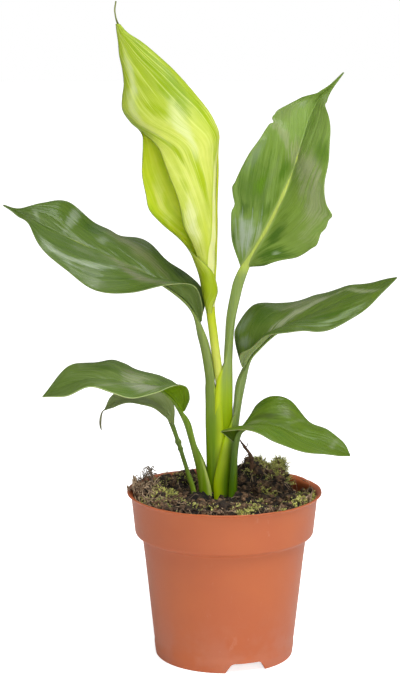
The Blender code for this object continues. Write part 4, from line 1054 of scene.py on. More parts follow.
class Graph:
    """Adds and joins the nodes of one material, group or world."""

    def __init__(self, tree):
        self.tree = tree

    def node(self, kind, **settings):
        made = self.tree.nodes.new(kind)
        for key, value in settings.items():
            setattr(made, key, value)
        return made

    def put(self, socket, value):
        """Joins a socket to another one, or sets its plain value."""
        if isinstance(value, bpy.types.NodeSocket):
            self.tree.links.new(value, socket)
        elif isinstance(value, tuple) and len(value) == 3 and socket.type == "RGBA":
            socket.default_value = (*value, 1.0)
        else:
            socket.default_value = value

    def fill(self, made, **values):
        """Joins or sets a node's sockets, named with _ for each space."""
        for label, value in values.items():
            self.put(made.inputs[label.replace("_", " ")], value)
        return made.outputs

    def math(self, operation, *values):
        made = self.node("ShaderNodeMath", operation=operation)
        for socket, value in zip(made.inputs, values):
            self.put(socket, value)
        return made.outputs[0]

    def times(self, a, b):
        return self.math("MULTIPLY", a, b)

    def less(self, a, b):
        return self.math("SUBTRACT", a, b)

    def add(self, *terms):
        """The sum of terms. A pair is a value and its factor."""
        parts = [self.times(*term) if isinstance(term, tuple) else term for term in terms]
        total = parts[0]
        for part in parts[1:]:
            total = self.math("ADD", total, part)
        return total

    def step(self, value, low, high, start=0.0, end=1.0):
        """start below low, end above high, and a soft step between them."""
        made = self.node("ShaderNodeMapRange", interpolation_type="SMOOTHSTEP")
        return self.fill(made, Value=value, From_Min=low, From_Max=high, To_Min=start, To_Max=end)["Result"]

    def mix(self, share, a, b):
        made = self.node("ShaderNodeMix", data_type="RGBA", clamp_factor=True)
        for socket, value in zip((made.inputs[0], made.inputs[6], made.inputs[7]), (share, a, b)):
            self.put(socket, value)
        return made.outputs[2]

    def noise(self, vector, scale, detail=3.0, rough=0.55):
        made = self.node("ShaderNodeTexNoise")
        return self.fill(made, Vector=vector, Scale=scale, Detail=detail, Roughness=rough)["Fac"]

    def vector(self, x, y, z):
        return self.fill(self.node("ShaderNodeCombineXYZ"), X=x, Y=y, Z=z)[0]

    def parts(self, vector):
        return self.fill(self.node("ShaderNodeSeparateXYZ"), Vector=vector)

    def place(self, **mapping):
        """Object coordinates, stretched or turned where a mapping says so."""
        place = self.node("ShaderNodeTexCoord").outputs["Object"]
        if not mapping:
            return place
        return self.fill(self.node("ShaderNodeMapping"), Vector=place, **mapping)[0]

    def map(self, name):
        return self.node("ShaderNodeUVMap", uv_map=name).outputs[0]

    def bump(self, height, distance, strength):
        return self.fill(self.node("ShaderNodeBump"), Height=height, Distance=distance, Strength=strength)[0]

    def use(self, tree, **values):
        """A node group with its sockets filled."""
        return self.fill(self.node("ShaderNodeGroup", node_tree=tree), **values)


def group(name, inputs, outputs):
    """A node group: inputs with their values, None for a vector. All outputs are floats."""
    tree = bpy.data.node_groups.new(name, "ShaderNodeTree")
    for label, value in inputs.items():
        kind = "NodeSocketVector" if value is None else "NodeSocketFloat"
        socket = tree.interface.new_socket(name=label, in_out="INPUT", socket_type=kind)
        if value is not None:
            socket.default_value = value
    for label in outputs:
        tree.interface.new_socket(name=label, in_out="OUTPUT", socket_type="NodeSocketFloat")
    g = Graph(tree)
    return tree, g, g.node("NodeGroupInput").outputs, g.node("NodeGroupOutput").inputs


def make_vein_group():
    """Streaks and fine lines that run from the midrib in long curves to the margin."""
    tree, g, given, out = group(
        "leaf_veins", {"Share": None, "Lift": 0.6, "Veins": 90.0, "Streaks": 16.0, "Seed": 0.0},
        ("Line", "Streak", "Fine", "Broad"))
    share = g.parts(given["Share"])
    side = share[0]
    lifted = g.times(g.math("POWER", g.math("ABSOLUTE", side), VEIN_BEND), given["Lift"])
    start = g.less(share[1], lifted)
    half = g.add((g.math("SIGN", side), 7.0), given["Seed"])
    wobble = g.noise(g.vector(g.times(start, 9.0), side, half), 2.0, 2.0)
    phase = g.add((start, given["Veins"]), (wobble, 2.5))
    across = g.times(start, given["Streaks"])
    streak = g.noise(g.vector(across, g.times(side, 1.6), half), 1.0, 3.0, 0.6)
    fine = g.noise(g.vector(g.times(across, 5.0), g.times(side, 3.0), half), 1.0, 2.0)
    broad = g.noise(g.vector(g.times(start, 5.0), g.times(side, 2.2), g.add(half, 3.0)), 1.0, 2.0)
    g.put(out["Line"], g.step(g.math("PINGPONG", phase, 0.5), 0.36, 0.5))
    for label, value in (("Streak", streak), ("Fine", fine), ("Broad", broad)):
        g.put(out[label], g.step(value, 0.3, 0.7))
    return tree


def make_mottle_group():
    """Uneven tone in two sizes, for anything grown, worn or soiled."""
    tree, g, given, out = group("mottle", {"Place": None, "Large": 60.0, "Small": 600.0}, ("Tone", "Grain"))
    g.put(out["Tone"], g.step(g.noise(given["Place"], given["Large"], 3.0, 0.5), 0.3, 0.7))
    g.put(out["Grain"], g.noise(given["Place"], given["Small"], 2.0, 0.5))
    return tree


def make_touch_group():
    """A soft touch of another colour, for a blade's own tones and for painted highlights and sheen: an
    ellipse, laid at a slant, that frays out along the veins.
    """
    tree, g, given, out = group(
        "colour_touch",
        {"Side": 0.0, "Share": 0.0, "Fray": 0.5, "Middle Side": 0.0, "Middle Share": 0.0,
         "Half Side": 0.2, "Half Share": 0.1, "Slant": 0.0}, ("Mask",))
    off = g.less(given["Side"], given["Middle Side"])
    leaned = g.add(given["Middle Share"], (off, given["Slant"]))
    a = g.math("DIVIDE", off, given["Half Side"])
    b = g.math("DIVIDE", g.less(given["Share"], leaned), given["Half Share"])
    far = g.math("SQRT", g.add((a, a), (b, b)))
    ragged = g.add(far, (g.less(given["Fray"], 0.5), 1.5))
    g.put(out["Mask"], g.step(ragged, 0.2, 1.25, 1.0, 0.0))
    return tree


VEINS = make_vein_group()
MOTTLE = make_mottle_group()
TOUCH = make_touch_group()


def new_material(name):
    """A material with its graph and its shader."""
    material = bpy.data.materials.new(name)
    material.use_nodes = True
    return material, Graph(material.node_tree), material.node_tree.nodes["Principled BSDF"]


def toned(colour, factor, more=0.0):
    """A colour made darker or paler."""
    return tuple(min(1.0, factor * c + more) for c in colour)


def blade_inputs(g, large, **veins):
    """Share and reach on a blade, the pattern of its veins and its mottle."""
    share = g.map("Share")
    return (g.parts(share), g.parts(g.map("Reach")), g.use(VEINS, Share=share, **veins),
            g.use(MOTTLE, Place=g.place(), Large=large, Small=900.0))


def lay_touches(g, colour, share, veins, mottle, touches):
    """Lays touches of colour over a blade: its own tones, and on the grown blades painted highlights and
    sheen. Each: side, share, half widths, slant, strength, colour.
    """
    fray = g.add((veins["Streak"], 0.45), (veins["Fine"], 0.3), (mottle["Tone"], 0.25))
    for side, along, half_side, half_along, slant, strength, tint in touches:
        mask = g.use(TOUCH, Side=share[0], Share=share[1], Fray=fray, Middle_Side=side, Middle_Share=along,
                     Half_Side=half_side, Half_Share=half_along, Slant=slant)["Mask"]
        colour = g.mix(g.times(mask, strength), colour, tint)
    return colour


# Finishes

def leaf_face(name, deep, light, rib=(0.34, 0.44, 0.12), rib_strength=0.3, rib_wide=1.0, rib_ends=(0.5, 1.0),
              edge=(0.27, 0.36, 0.12), edge_strength=0.45, rough=0.36, through=0.10, gloss=0.25, seed=0.0,
              touches=()):
    """One face of a blade: green along its veins, touched with other tones and with painted highlights and
    sheen, paler midrib and margin.
    """
    material, g, shader = new_material(name)
    share, reach, veins, mottle = blade_inputs(g, 110.0, Lift=FIRST_LIFT, Seed=seed)
    tone = g.add((veins["Streak"], 0.45), (veins["Broad"], 0.25), (veins["Fine"], 0.30))
    colour = lay_touches(g, g.mix(tone, deep, light), share, veins, mottle, touches)
    colour = g.mix(g.times(g.step(veins["Fine"], 0.45, 1.0), 0.22), colour, toned(deep, 0.65))
    colour = g.mix(g.times(veins["Line"], 0.16), colour, toned(light, 1.5))
    wide = g.times(g.less(1.1, share[1]), rib_wide)
    near_rib = g.step(g.math("DIVIDE", reach[0], wide), 0.7, 1.9, 1.0, 0.0)
    rib_fade = g.step(share[1], rib_ends[0], rib_ends[1], rib_strength, 0.0)
    colour = g.mix(g.times(near_rib, rib_fade), colour, rib)
    colour = g.mix(g.step(reach[1], 0.25, 0.8, edge_strength, 0.0), colour, edge)
    height = g.add((veins["Line"], 0.5), (veins["Fine"], 0.9), (veins["Streak"], 1.6), (mottle["Grain"], 0.2))
    g.fill(shader, Base_Color=colour, Roughness=g.add(rough - 0.05, (mottle["Tone"], 0.12)),
           Normal=g.bump(height, 0.12 * MM, 0.9), Coat_Weight=gloss, Coat_Roughness=0.17,
           Specular_IOR_Level=0.14, Subsurface_Weight=through, Subsurface_Radius=(0.6, 1.0, 0.05),
           Subsurface_Scale=0.0004)
    return material


def stalk_finish(name, low, high, wing, ends, top=None, top_ends=(0, 1), wing_reach=3.0, wing_strength=0.7):
    """A stalk: colour changes with height, sheath wings are thin and pale, fine lines run up it."""
    material, g, shader = new_material(name)
    height = g.parts(g.place())[2]
    reach = g.parts(g.map("Reach"))
    face = g.parts(g.map("Share"))[0]
    stretched = g.place(Scale=(1.0, 1.0, 0.03))
    lines = g.noise(stretched, 1500.0, 2.0)
    broad = g.noise(stretched, 420.0, 2.0)
    colour = g.mix(g.step(height, ends[0] * MM, ends[1] * MM), low, high)
    if top:
        colour = g.mix(g.step(height, top_ends[0] * MM, top_ends[1] * MM), colour, top)
    colour = g.mix(g.times(g.step(lines, 0.35, 0.7), 0.25), colour, toned(low, 0.6))
    colour = g.mix(g.times(g.step(broad, 0.45, 0.75), 0.20), colour, wing)
    wide = g.math("MAXIMUM", g.math("MINIMUM", g.times(reach[1], 0.75), wing_reach), 0.3)
    thin = g.step(g.math("DIVIDE", reach[0], wide), 0.35, 1.15, 1.0, 0.0)
    inside = g.step(face, -0.2, 0.2, 0.5, 0.0)
    winged = g.times(g.math("MAXIMUM", thin, inside), g.step(reach[1], 0.4, 2.6, 0.0, wing_strength))
    g.fill(shader, Base_Color=g.mix(winged, colour, wing), Roughness=0.36,
           Normal=g.bump(lines, 0.12 * MM, 0.7), Coat_Weight=0.1, Coat_Roughness=0.25,
           Specular_IOR_Level=0.16, Subsurface_Weight=0.25, Subsurface_Radius=(0.7, 1.0, 0.1),
           Subsurface_Scale=0.0008)
    return material


def plain_rim(name, colour):
    """The cut of a blade's margin."""
    material, g, shader = new_material(name)
    tone = g.use(MOTTLE, Place=g.place(), Large=300.0, Small=1500.0)["Tone"]
    g.fill(shader, Base_Color=g.mix(tone, colour, toned(colour, 0.6)), Roughness=0.45, Subsurface_Weight=0.2,
           Subsurface_Scale=0.001)
    return material


def young_face(name, deep, light, green, rib, edge, seed, rib_reach, touches, blotch, through=0.35):
    """The young blade: bright and blotched along its veins, greener towards its tip."""
    material, g, shader = new_material(name)
    share, reach, veins, mottle = blade_inputs(g, 90.0, Lift=YOUNG_LIFT, Veins=110.0, Streaks=13.0, Seed=seed)
    tone = g.add((veins["Streak"], 0.45), (veins["Fine"], 0.35), (mottle["Tone"], 0.20))
    colour = g.mix(g.step(share[1], 0.56, 0.82, 0.0, 0.9), light, green)
    colour = g.mix(g.step(tone, 0.25, 0.80, 0.0, blotch), colour, deep)
    colour = lay_touches(g, colour, share, veins, mottle, touches)
    colour = g.mix(g.times(veins["Line"], 0.15), colour, light)
    streaked = g.times(g.step(veins["Fine"], 0.55, 1.0), g.step(share[1], 0.28, 0.50, 0.0, 0.36))
    colour = g.mix(streaked, colour, toned(light, 1.08, 0.10))
    colour = g.mix(g.times(g.step(veins["Fine"], 0.45, 0.05), 0.30), colour, deep)
    lower = g.step(share[1], 0.42, 0.60, 1.0, 0.0)
    past = g.less(reach[0], g.step(share[1], 0.15, 0.50, rib_reach, 0.6 * rib_reach))
    shade = g.times(g.step(past, -0.4, 0.0), g.step(past, 0.0, 1.4, 0.5, 0.0))
    colour = g.mix(g.times(shade, lower), colour, deep)
    colour = g.mix(g.times(g.step(past, -0.4, 0.0, 0.9, 0.0), lower), colour, rib)
    fringe = g.step(share[1], 0.70, 0.78, 0.45, 0.9)
    colour = g.mix(g.step(reach[1], 0.2, fringe, 1.0, 0.0), colour, edge)
    height = g.add((veins["Line"], 0.8), (veins["Streak"], 2.0))
    g.fill(shader, Base_Color=colour, Roughness=g.add(0.36, (mottle["Tone"], 0.12)),
           Normal=g.bump(height, 0.1 * MM, 0.8), Coat_Weight=0.1, Coat_Roughness=0.25,
           Specular_IOR_Level=0.16, Subsurface_Weight=through, Subsurface_Radius=(0.9, 1.0, 0.1),
           Subsurface_Scale=0.0006)
    return material


def pot_inside(g, x, y, height):
    """1 on the pot's inner wall above the soil and 0 elsewhere."""
    radius = g.node("ShaderNodeVectorMath", operation="LENGTH")
    g.put(radius.inputs[0], g.vector(g.less(x, AXIS_X), y, 0.0))
    flare = (BAND_TOP_R - BAND_LOW_R) / (LIP_TOP - LIP_T - BAND_LOW)
    in_wall = g.less(radius.outputs["Value"], g.times(height, flare))
    face = BAND_LOW_R - flare * BAND_LOW
    return g.times(g.step(in_wall, (face - 0.8) * MM, (face - 0.4) * MM, 1.0, 0.0),
                   g.step(height, 82.0 * MM, 86.0 * MM))


def pot_plastic():
    """Moulded terracotta-coloured plastic: satin, faintly clouded, scuffed, dusty low down, with painted
    shade on the inner wall above the soil, darkest near the soil.
    """
    material, g, shader = new_material("pot_plastic")
    place = g.place()
    x, y, height = g.parts(place)
    mottle = g.use(MOTTLE, Place=place, Large=26.0, Small=1100.0)
    colour = g.mix(g.times(mottle["Tone"], 0.6), (0.520, 0.128, 0.036), (0.470, 0.110, 0.036))
    rubbed = g.place(Scale=(1.0, 1.0, 0.4), Rotation=(0.0, 0.5, 0.0))
    scuffs = g.step(g.noise(rubbed, 190.0, 5.0, 0.7), 0.60, 0.72, 0.0, 0.35)
    patchy = g.step(g.noise(place, 24.0, 2.0), 0.5, 0.7)
    colour = g.mix(g.times(scuffs, patchy), colour, (0.62, 0.33, 0.24))
    cloud = g.step(g.noise(place, 60.0), 0.4, 0.65)
    dust = g.times(g.step(height, 2.0 * MM, 45.0 * MM, 0.22, 0.0), cloud)
    colour = g.mix(dust, colour, (0.50, 0.24, 0.17))
    # painted shade: the inner wall above the soil is darkened, most towards the soil
    damp = g.times(pot_inside(g, x, y, height), g.step(height, 95.0 * MM, 103.0 * MM, 0.75, 0.3))
    g.fill(shader, Base_Color=g.mix(damp, colour, (0.13, 0.024, 0.006)),
           Roughness=g.add(0.36, (mottle["Grain"], 0.16)), Normal=g.bump(mottle["Grain"], 0.04 * MM, 0.4),
           Subsurface_Weight=0.05, Subsurface_Radius=(1.0, 0.35, 0.2), Subsurface_Scale=0.002)
    return material


def earthy(name, dark, light, scale, rough=0.95, depth=0.4, hollows=False, damp=False):
    """Peat, bark, dead root: rough and uneven in tone; damp places can be near black, and hollows get painted
    shade down to near black.
    """
    material, g, shader = new_material(name)
    mottle = g.use(MOTTLE, Place=g.place(), Large=scale, Small=scale * 7.0)
    colour = g.mix(mottle["Tone"], dark, light)
    colour = g.mix(g.step(mottle["Grain"], 0.55, 0.75, 0.0, 0.5), colour, toned(light, 1.7))
    # painted shade: the low places of the soil's relief are darkened to near black
    if hollows:
        deep = g.step(g.parts(g.map("Relief"))[0], -0.3, 1.5, 0.96, 0.0)
        colour = g.mix(deep, colour, (0.004, 0.003, 0.003))
    if damp:
        wet = g.step(g.noise(g.place(), 95.0, 2.0), 0.43, 0.55, 0.85, 0.0)
        colour = g.mix(wet, colour, (0.008, 0.005, 0.004))
    g.fill(shader, Base_Color=colour, Roughness=g.less(rough, g.times(mottle["Grain"], 0.2)),
           Normal=g.bump(mottle["Grain"], depth * MM, 0.9))
    return material


def moss_finish(name, dark, light):
    """Moss: dark at the foot of each shoot, paler at its tip, and no two shoots alike."""
    material, g, shader = new_material(name)
    tint = g.parts(g.map("Tint"))
    mottle = g.use(MOTTLE, Place=g.place(), Large=160.0, Small=1500.0)
    tone = g.add((tint[0], 0.65), (tint[1], 0.45), (g.less(mottle["Tone"], 0.5), 0.3))
    g.fill(shader, Base_Color=g.mix(g.step(tone, 0.1, 1.0), dark, light),
           Roughness=g.add(0.6, (mottle["Grain"], 0.2)), Subsurface_Weight=0.2,
           Subsurface_Radius=(0.7, 1.0, 0.2), Subsurface_Scale=0.001)
    return material


# Colours and building

RIM = plain_rim("blade_rim", (0.34, 0.43, 0.15))

# The colours of each grown blade. Its touches: side (-1 to 1), share of the length,
# half widths of both, slant, strength and colour. Dark and green touches are the
# blade's own tone, pale grey-white ones are painted highlights, and dusty grey ones
# are partly its own dull tone and partly painted sheen.
FACES = {
    "upper_left_leaf": dict(
        deep=(0.045, 0.100, 0.004), light=(0.125, 0.200, 0.024), rib=(0.24, 0.30, 0.11),
        rib_strength=0.4, rib_wide=1.0, rib_ends=(0.40, 0.62), touches=(
            (0.30, 0.62, 0.30, 0.10, 0.0, 0.4, (0.060, 0.125, 0.005)),
            (-0.60, 0.74, 0.35, 0.045, 0.0, 0.6, (0.085, 0.160, 0.010)),
            # painted highlight and sheen: this pale touch and the next two
            (0.55, 0.55, 0.22, 0.028, 0.33, 0.9, (0.30, 0.37, 0.23)),
            (0.78, 0.655, 0.09, 0.085, 0.0, 0.85, (0.29, 0.36, 0.22)),
            (0.86, 0.50, 0.12, 0.05, 0.0, 0.5, (0.15, 0.20, 0.08)),
            (0.50, 0.385, 0.45, 0.035, -0.19, 0.75, (0.19, 0.20, 0.095)),
            (0.06, 0.45, 0.08, 0.07, 0.0, 0.6, (0.22, 0.24, 0.11)),
            (-0.50, 0.42, 0.42, 0.075, -0.26, 0.8, (0.190, 0.215, 0.080)),
            (-0.75, 0.28, 0.35, 0.035, 0.0, 0.85, (0.028, 0.070, 0.001)),
            (-0.70, 0.60, 0.28, 0.04, 0.0, 0.75, (0.035, 0.090, 0.002)),
            # painted highlights: this pale touch and the next two
            (-0.38, 0.55, 0.12, 0.024, 0.0, 0.7, (0.22, 0.28, 0.16)),
            (-0.60, 0.665, 0.50, 0.018, 0.0, 0.8, (0.27, 0.33, 0.21)),
            (-0.28, 0.80, 0.28, 0.018, -0.09, 0.75, (0.28, 0.35, 0.21)),
            (0.25, 0.58, 0.07, 0.05, 0.0, 0.4, (0.17, 0.22, 0.09)),
            (0.35, 0.84, 0.60, 0.06, 0.0, 0.5, (0.095, 0.145, 0.015)))),
    "upper_right_leaf": dict(
        deep=(0.118, 0.215, 0.013), light=(0.240, 0.358, 0.075), rib_strength=0.95, rib_wide=2.0,
        rib_ends=(0.36, 0.48), gloss=0.15, touches=(
            (-0.55, 0.25, 0.60, 0.28, 0.0, 0.5, (0.230, 0.345, 0.045)),
            (0.10, 0.64, 1.10, 0.13, 0.0, 0.7, (0.265, 0.395, 0.095)),
            (0.60, 0.31, 0.42, 0.14, 0.0, 0.7, (0.060, 0.135, 0.004)),
            (0.52, 0.325, 0.14, 0.05, 0.0, 0.95, (0.095, 0.210, 0.001)),
            (0.72, 0.22, 0.16, 0.035, 0.0, 0.7, (0.045, 0.110, 0.003)),
            (0.20, 0.255, 0.10, 0.045, 0.0, 0.7, (0.070, 0.160, 0.004)),
            (0.20, 0.42, 0.10, 0.055, 0.0, 0.8, (0.065, 0.160, 0.003)),
            (0.40, 0.38, 0.09, 0.09, 0.3, 0.5, (0.170, 0.235, 0.080)),
            # painted sheen along the left margin
            (0.90, 0.43, 0.10, 0.09, 0.0, 0.55, (0.175, 0.240, 0.125)),
            (0.90, 0.105, 0.09, 0.05, 0.0, 0.85, (0.045, 0.115, 0.003)),
            # painted highlight: the broad pale patch low on the left half
            (0.50, 0.135, 0.46, 0.078, 0.0, 0.97, (0.40, 0.48, 0.34)),
            (0.16, 0.08, 0.11, 0.10, 0.0, 0.6, (0.40, 0.47, 0.22)),
            (-0.27, 0.20, 0.14, 0.07, 0.0, 0.85, (0.042, 0.115, 0.002)),
            (-0.62, 0.13, 0.34, 0.05, -0.05, 0.9, (0.048, 0.130, 0.002)),
            (-0.66, 0.14, 0.08, 0.014, 0.0, 0.8, (0.33, 0.43, 0.24)),
            (-0.93, 0.07, 0.07, 0.05, 0.0, 0.7, (0.045, 0.110, 0.002)),
            (-0.74, 0.37, 0.30, 0.13, 0.0, 0.8, (0.33, 0.385, 0.175)),
            (-0.40, 0.46, 0.48, 0.070, 0.0, 0.85, (0.33, 0.37, 0.18)),
            (0.05, 0.51, 0.22, 0.060, 0.0, 0.85, (0.32, 0.37, 0.155)),
            (0.52, 0.55, 0.50, 0.032, 0.13, 0.85, (0.31, 0.365, 0.165)),
            (-0.80, 0.55, 0.24, 0.06, 0.0, 0.65, (0.090, 0.200, 0.006)),
            (-0.30, 0.66, 0.20, 0.05, 0.0, 0.6, (0.110, 0.215, 0.012)),
            (0.50, 0.755, 0.16, 0.02, 0.1, 0.65, (0.28, 0.38, 0.16)),
            (0.75, 0.68, 0.25, 0.09, 0.0, 0.45, (0.20, 0.25, 0.09)))),
    "mid_right_leaf": dict(
        deep=(0.062, 0.125, 0.006), light=(0.140, 0.212, 0.032), rib_strength=0.08, touches=(
            (0.85, 0.11, 0.20, 0.10, 0.0, 0.9, (0.022, 0.060, 0.001)),
            (0.62, 0.36, 0.28, 0.08, 0.0, 0.8, (0.052, 0.118, 0.004)),
            # painted highlights: this grey touch and the next one
            (0.50, 0.17, 0.24, 0.055, -0.1, 0.7, (0.19, 0.25, 0.15)),
            (0.80, 0.25, 0.17, 0.06, 0.0, 0.75, (0.21, 0.28, 0.17)),
            (0.65, 0.53, 0.26, 0.10, 0.0, 0.75, (0.25, 0.28, 0.14)),
            (0.28, 0.53, 0.30, 0.085, 0.77, 0.9, (0.34, 0.38, 0.22)),
            (0.12, 0.50, 0.10, 0.016, 0.77, 0.5, (0.20, 0.22, 0.09)),
            (-0.25, 0.74, 0.35, 0.05, 0.0, 0.6, (0.085, 0.150, 0.012)),
            (-0.50, 0.62, 0.15, 0.13, 0.0, 0.7, (0.055, 0.125, 0.004)),
            # painted highlight: a green-grey touch
            (-0.74, 0.68, 0.10, 0.14, 0.0, 0.85, (0.24, 0.33, 0.15)),
            (-0.78, 0.86, 0.20, 0.03, 0.0, 0.7, (0.12, 0.20, 0.004)),
            (-0.90, 0.50, 0.12, 0.05, 0.0, 0.6, (0.075, 0.140, 0.008)),
            (0.05, 0.82, 0.70, 0.026, -0.108, 0.8, (0.29, 0.34, 0.17)))),
    "lower_left_leaf": dict(
        deep=(0.088, 0.162, 0.014), light=(0.180, 0.260, 0.060), rib_strength=0.06,
        edge_strength=0.95, edge=(0.48, 0.60, 0.22), touches=(
            (-0.45, 0.70, 0.22, 0.09, 0.0, 0.6, (0.062, 0.122, 0.008)),
            (-0.42, 0.36, 0.28, 0.05, 0.0, 0.75, (0.056, 0.112, 0.007)),
            # painted highlight: the whitish patch
            (0.42, 0.49, 0.45, 0.10, -0.08, 0.95, (0.36, 0.40, 0.25)),
            (-0.28, 0.53, 0.42, 0.075, 0.0, 0.9, (0.31, 0.36, 0.18)),
            (-0.56, 0.56, 0.13, 0.05, 0.0, 0.6, (0.21, 0.225, 0.10)),
            (0.65, 0.67, 0.45, 0.018, 0.22, 0.6, (0.24, 0.29, 0.13)),
            (0.60, 0.86, 0.40, 0.06, 0.0, 0.4, (0.12, 0.20, 0.03)),
            (-0.80, 0.83, 0.13, 0.03, 0.0, 0.6, (0.13, 0.20, 0.01)),
            (0.74, 0.58, 0.24, 0.05, 0.0, 0.7, (0.095, 0.175, 0.02)))),
    "lower_left_small_leaf": dict(
        deep=(0.255, 0.335, 0.090), light=(0.380, 0.455, 0.175), rib_strength=0.10, edge_strength=0.3),
    "lower_right_leaf": dict(
        deep=(0.080, 0.155, 0.005), light=(0.150, 0.240, 0.018), rib_strength=0.0, gloss=0.15, touches=(
            (0.00, 0.72, 0.50, 0.07, 0.0, 0.45, (0.12, 0.22, 0.012)),
            (0.27, 0.41, 0.11, 0.11, 0.0, 0.75, (0.060, 0.092, 0.010)),
            (0.80, 0.40, 0.17, 0.06, 0.0, 0.7, (0.082, 0.170, 0.003)),
            (0.60, 0.55, 0.22, 0.05, 0.0, 0.5, (0.16, 0.20, 0.07)),
            (0.08, 0.36, 0.08, 0.09, 0.0, 0.75, (0.20, 0.26, 0.09)),
            (0.55, 0.62, 0.38, 0.013, 0.1, 0.55, (0.22, 0.28, 0.11)),
            (-0.60, 0.55, 0.28, 0.05, 0.0, 0.6, (0.082, 0.178, 0.008)),
            (-0.75, 0.37, 0.22, 0.04, 0.0, 0.5, (0.18, 0.20, 0.07)),
            (0.25, 0.85, 0.65, 0.022, 0.0, 0.65, (0.23, 0.29, 0.12)))),
}
# Deep and light tone of each underside
UNDERSIDES = {
    "upper_left_leaf": ((0.110, 0.180, 0.025), (0.190, 0.265, 0.070)),
    "upper_right_leaf": ((0.105, 0.180, 0.015), (0.160, 0.250, 0.045)),
    "mid_right_leaf": ((0.240, 0.320, 0.090), (0.350, 0.430, 0.180)),
    "lower_left_leaf": ((0.120, 0.230, 0.001), (0.200, 0.330, 0.006)),
    "lower_left_small_leaf": ((0.255, 0.335, 0.085), (0.380, 0.450, 0.165)),
    "lower_right_leaf": ((0.050, 0.100, 0.002), (0.100, 0.170, 0.006)),
}
YOUNG_DEEP = (0.40, 0.53, 0.003)
YOUNG_TOUCHES = (
    (-0.26, 0.32, 0.08, 0.15, 0.0, 0.65, (0.60, 0.68, 0.05)),
    (-0.50, 0.27, 0.10, 0.10, 0.0, 0.65, (0.57, 0.66, 0.04)),
    (-0.80, 0.33, 0.17, 0.09, 0.0, 0.6, (0.85, 0.88, 0.50)),
    (-0.48, 0.45, 0.22, 0.040, -0.5, 0.95, YOUNG_DEEP),
    (-0.79, 0.54, 0.11, 0.024, -0.4, 1.0, (0.36, 0.49, 0.002)),
    (-0.80, 0.435, 0.08, 0.022, 0.0, 0.6, YOUNG_DEEP),
    (-0.55, 0.63, 0.06, 0.11, 0.0, 0.6, (0.78, 0.84, 0.45)),
    (-0.82, 0.78, 0.06, 0.18, 0.0, 0.6, (0.72, 0.79, 0.42)),
    (-0.24, 0.60, 0.16, 0.055, -0.7, 1.0, (0.36, 0.50, 0.001)),
    (-0.16, 0.53, 0.09, 0.035, 0.0, 0.9, YOUNG_DEEP),
    (-0.66, 0.69, 0.09, 0.032, -0.3, 0.95, (0.33, 0.46, 0.001)),
    (-0.62, 0.85, 0.16, 0.036, -1.0, 1.0, (0.24, 0.38, 0.001)),
    (-0.46, 0.78, 0.075, 0.095, 0.0, 1.0, (0.23, 0.37, 0.001)),
    (-0.57, 0.80, 0.050, 0.080, 0.0, 0.95, (0.26, 0.40, 0.001)),
    (-0.36, 0.73, 0.055, 0.075, 0.0, 0.85, (0.30, 0.44, 0.001)),
    (-0.20, 0.84, 0.12, 0.10, 0.0, 0.5, (0.34, 0.46, 0.03)),
    (-0.50, 0.91, 0.09, 0.06, 0.0, 0.7, (0.24, 0.38, 0.005)),
    (-0.97, 0.63, 0.13, 0.10, 0.0, 0.9, (0.24, 0.36, 0.02)),
    (-0.97, 0.34, 0.03, 0.07, 0.0, 0.7, (0.30, 0.42, 0.02)),
    (0.85, 0.10, 0.45, 0.12, 0.0, 1.0, (0.33, 0.44, 0.002)),
    (-0.80, 0.10, 0.40, 0.10, 0.0, 0.9, (0.35, 0.46, 0.003)))
FLAP_TOUCHES = (
    (0.75, 0.38, 0.07, 0.09, 0.0, 0.8, (0.90, 0.95, 0.22)),
    (0.92, 0.34, 0.10, 0.05, 0.0, 0.7, (0.36, 0.56, 0.002)))


def leaf_materials(name, seed, stalk):
    """Upper face, underside, rim and stalk of a grown leaf."""
    upper = leaf_face(name + "_upper", seed=seed, **FACES[name])
    deep, light = UNDERSIDES[name]
    under = leaf_face(name + "_under", deep, light, seed=seed + 3.0, rib=toned(light, 1.4),
                      rib_strength=0.5, edge_strength=0.7, rough=0.5, gloss=0.05, through=0.25)
    return [upper, under, RIM, stalk]


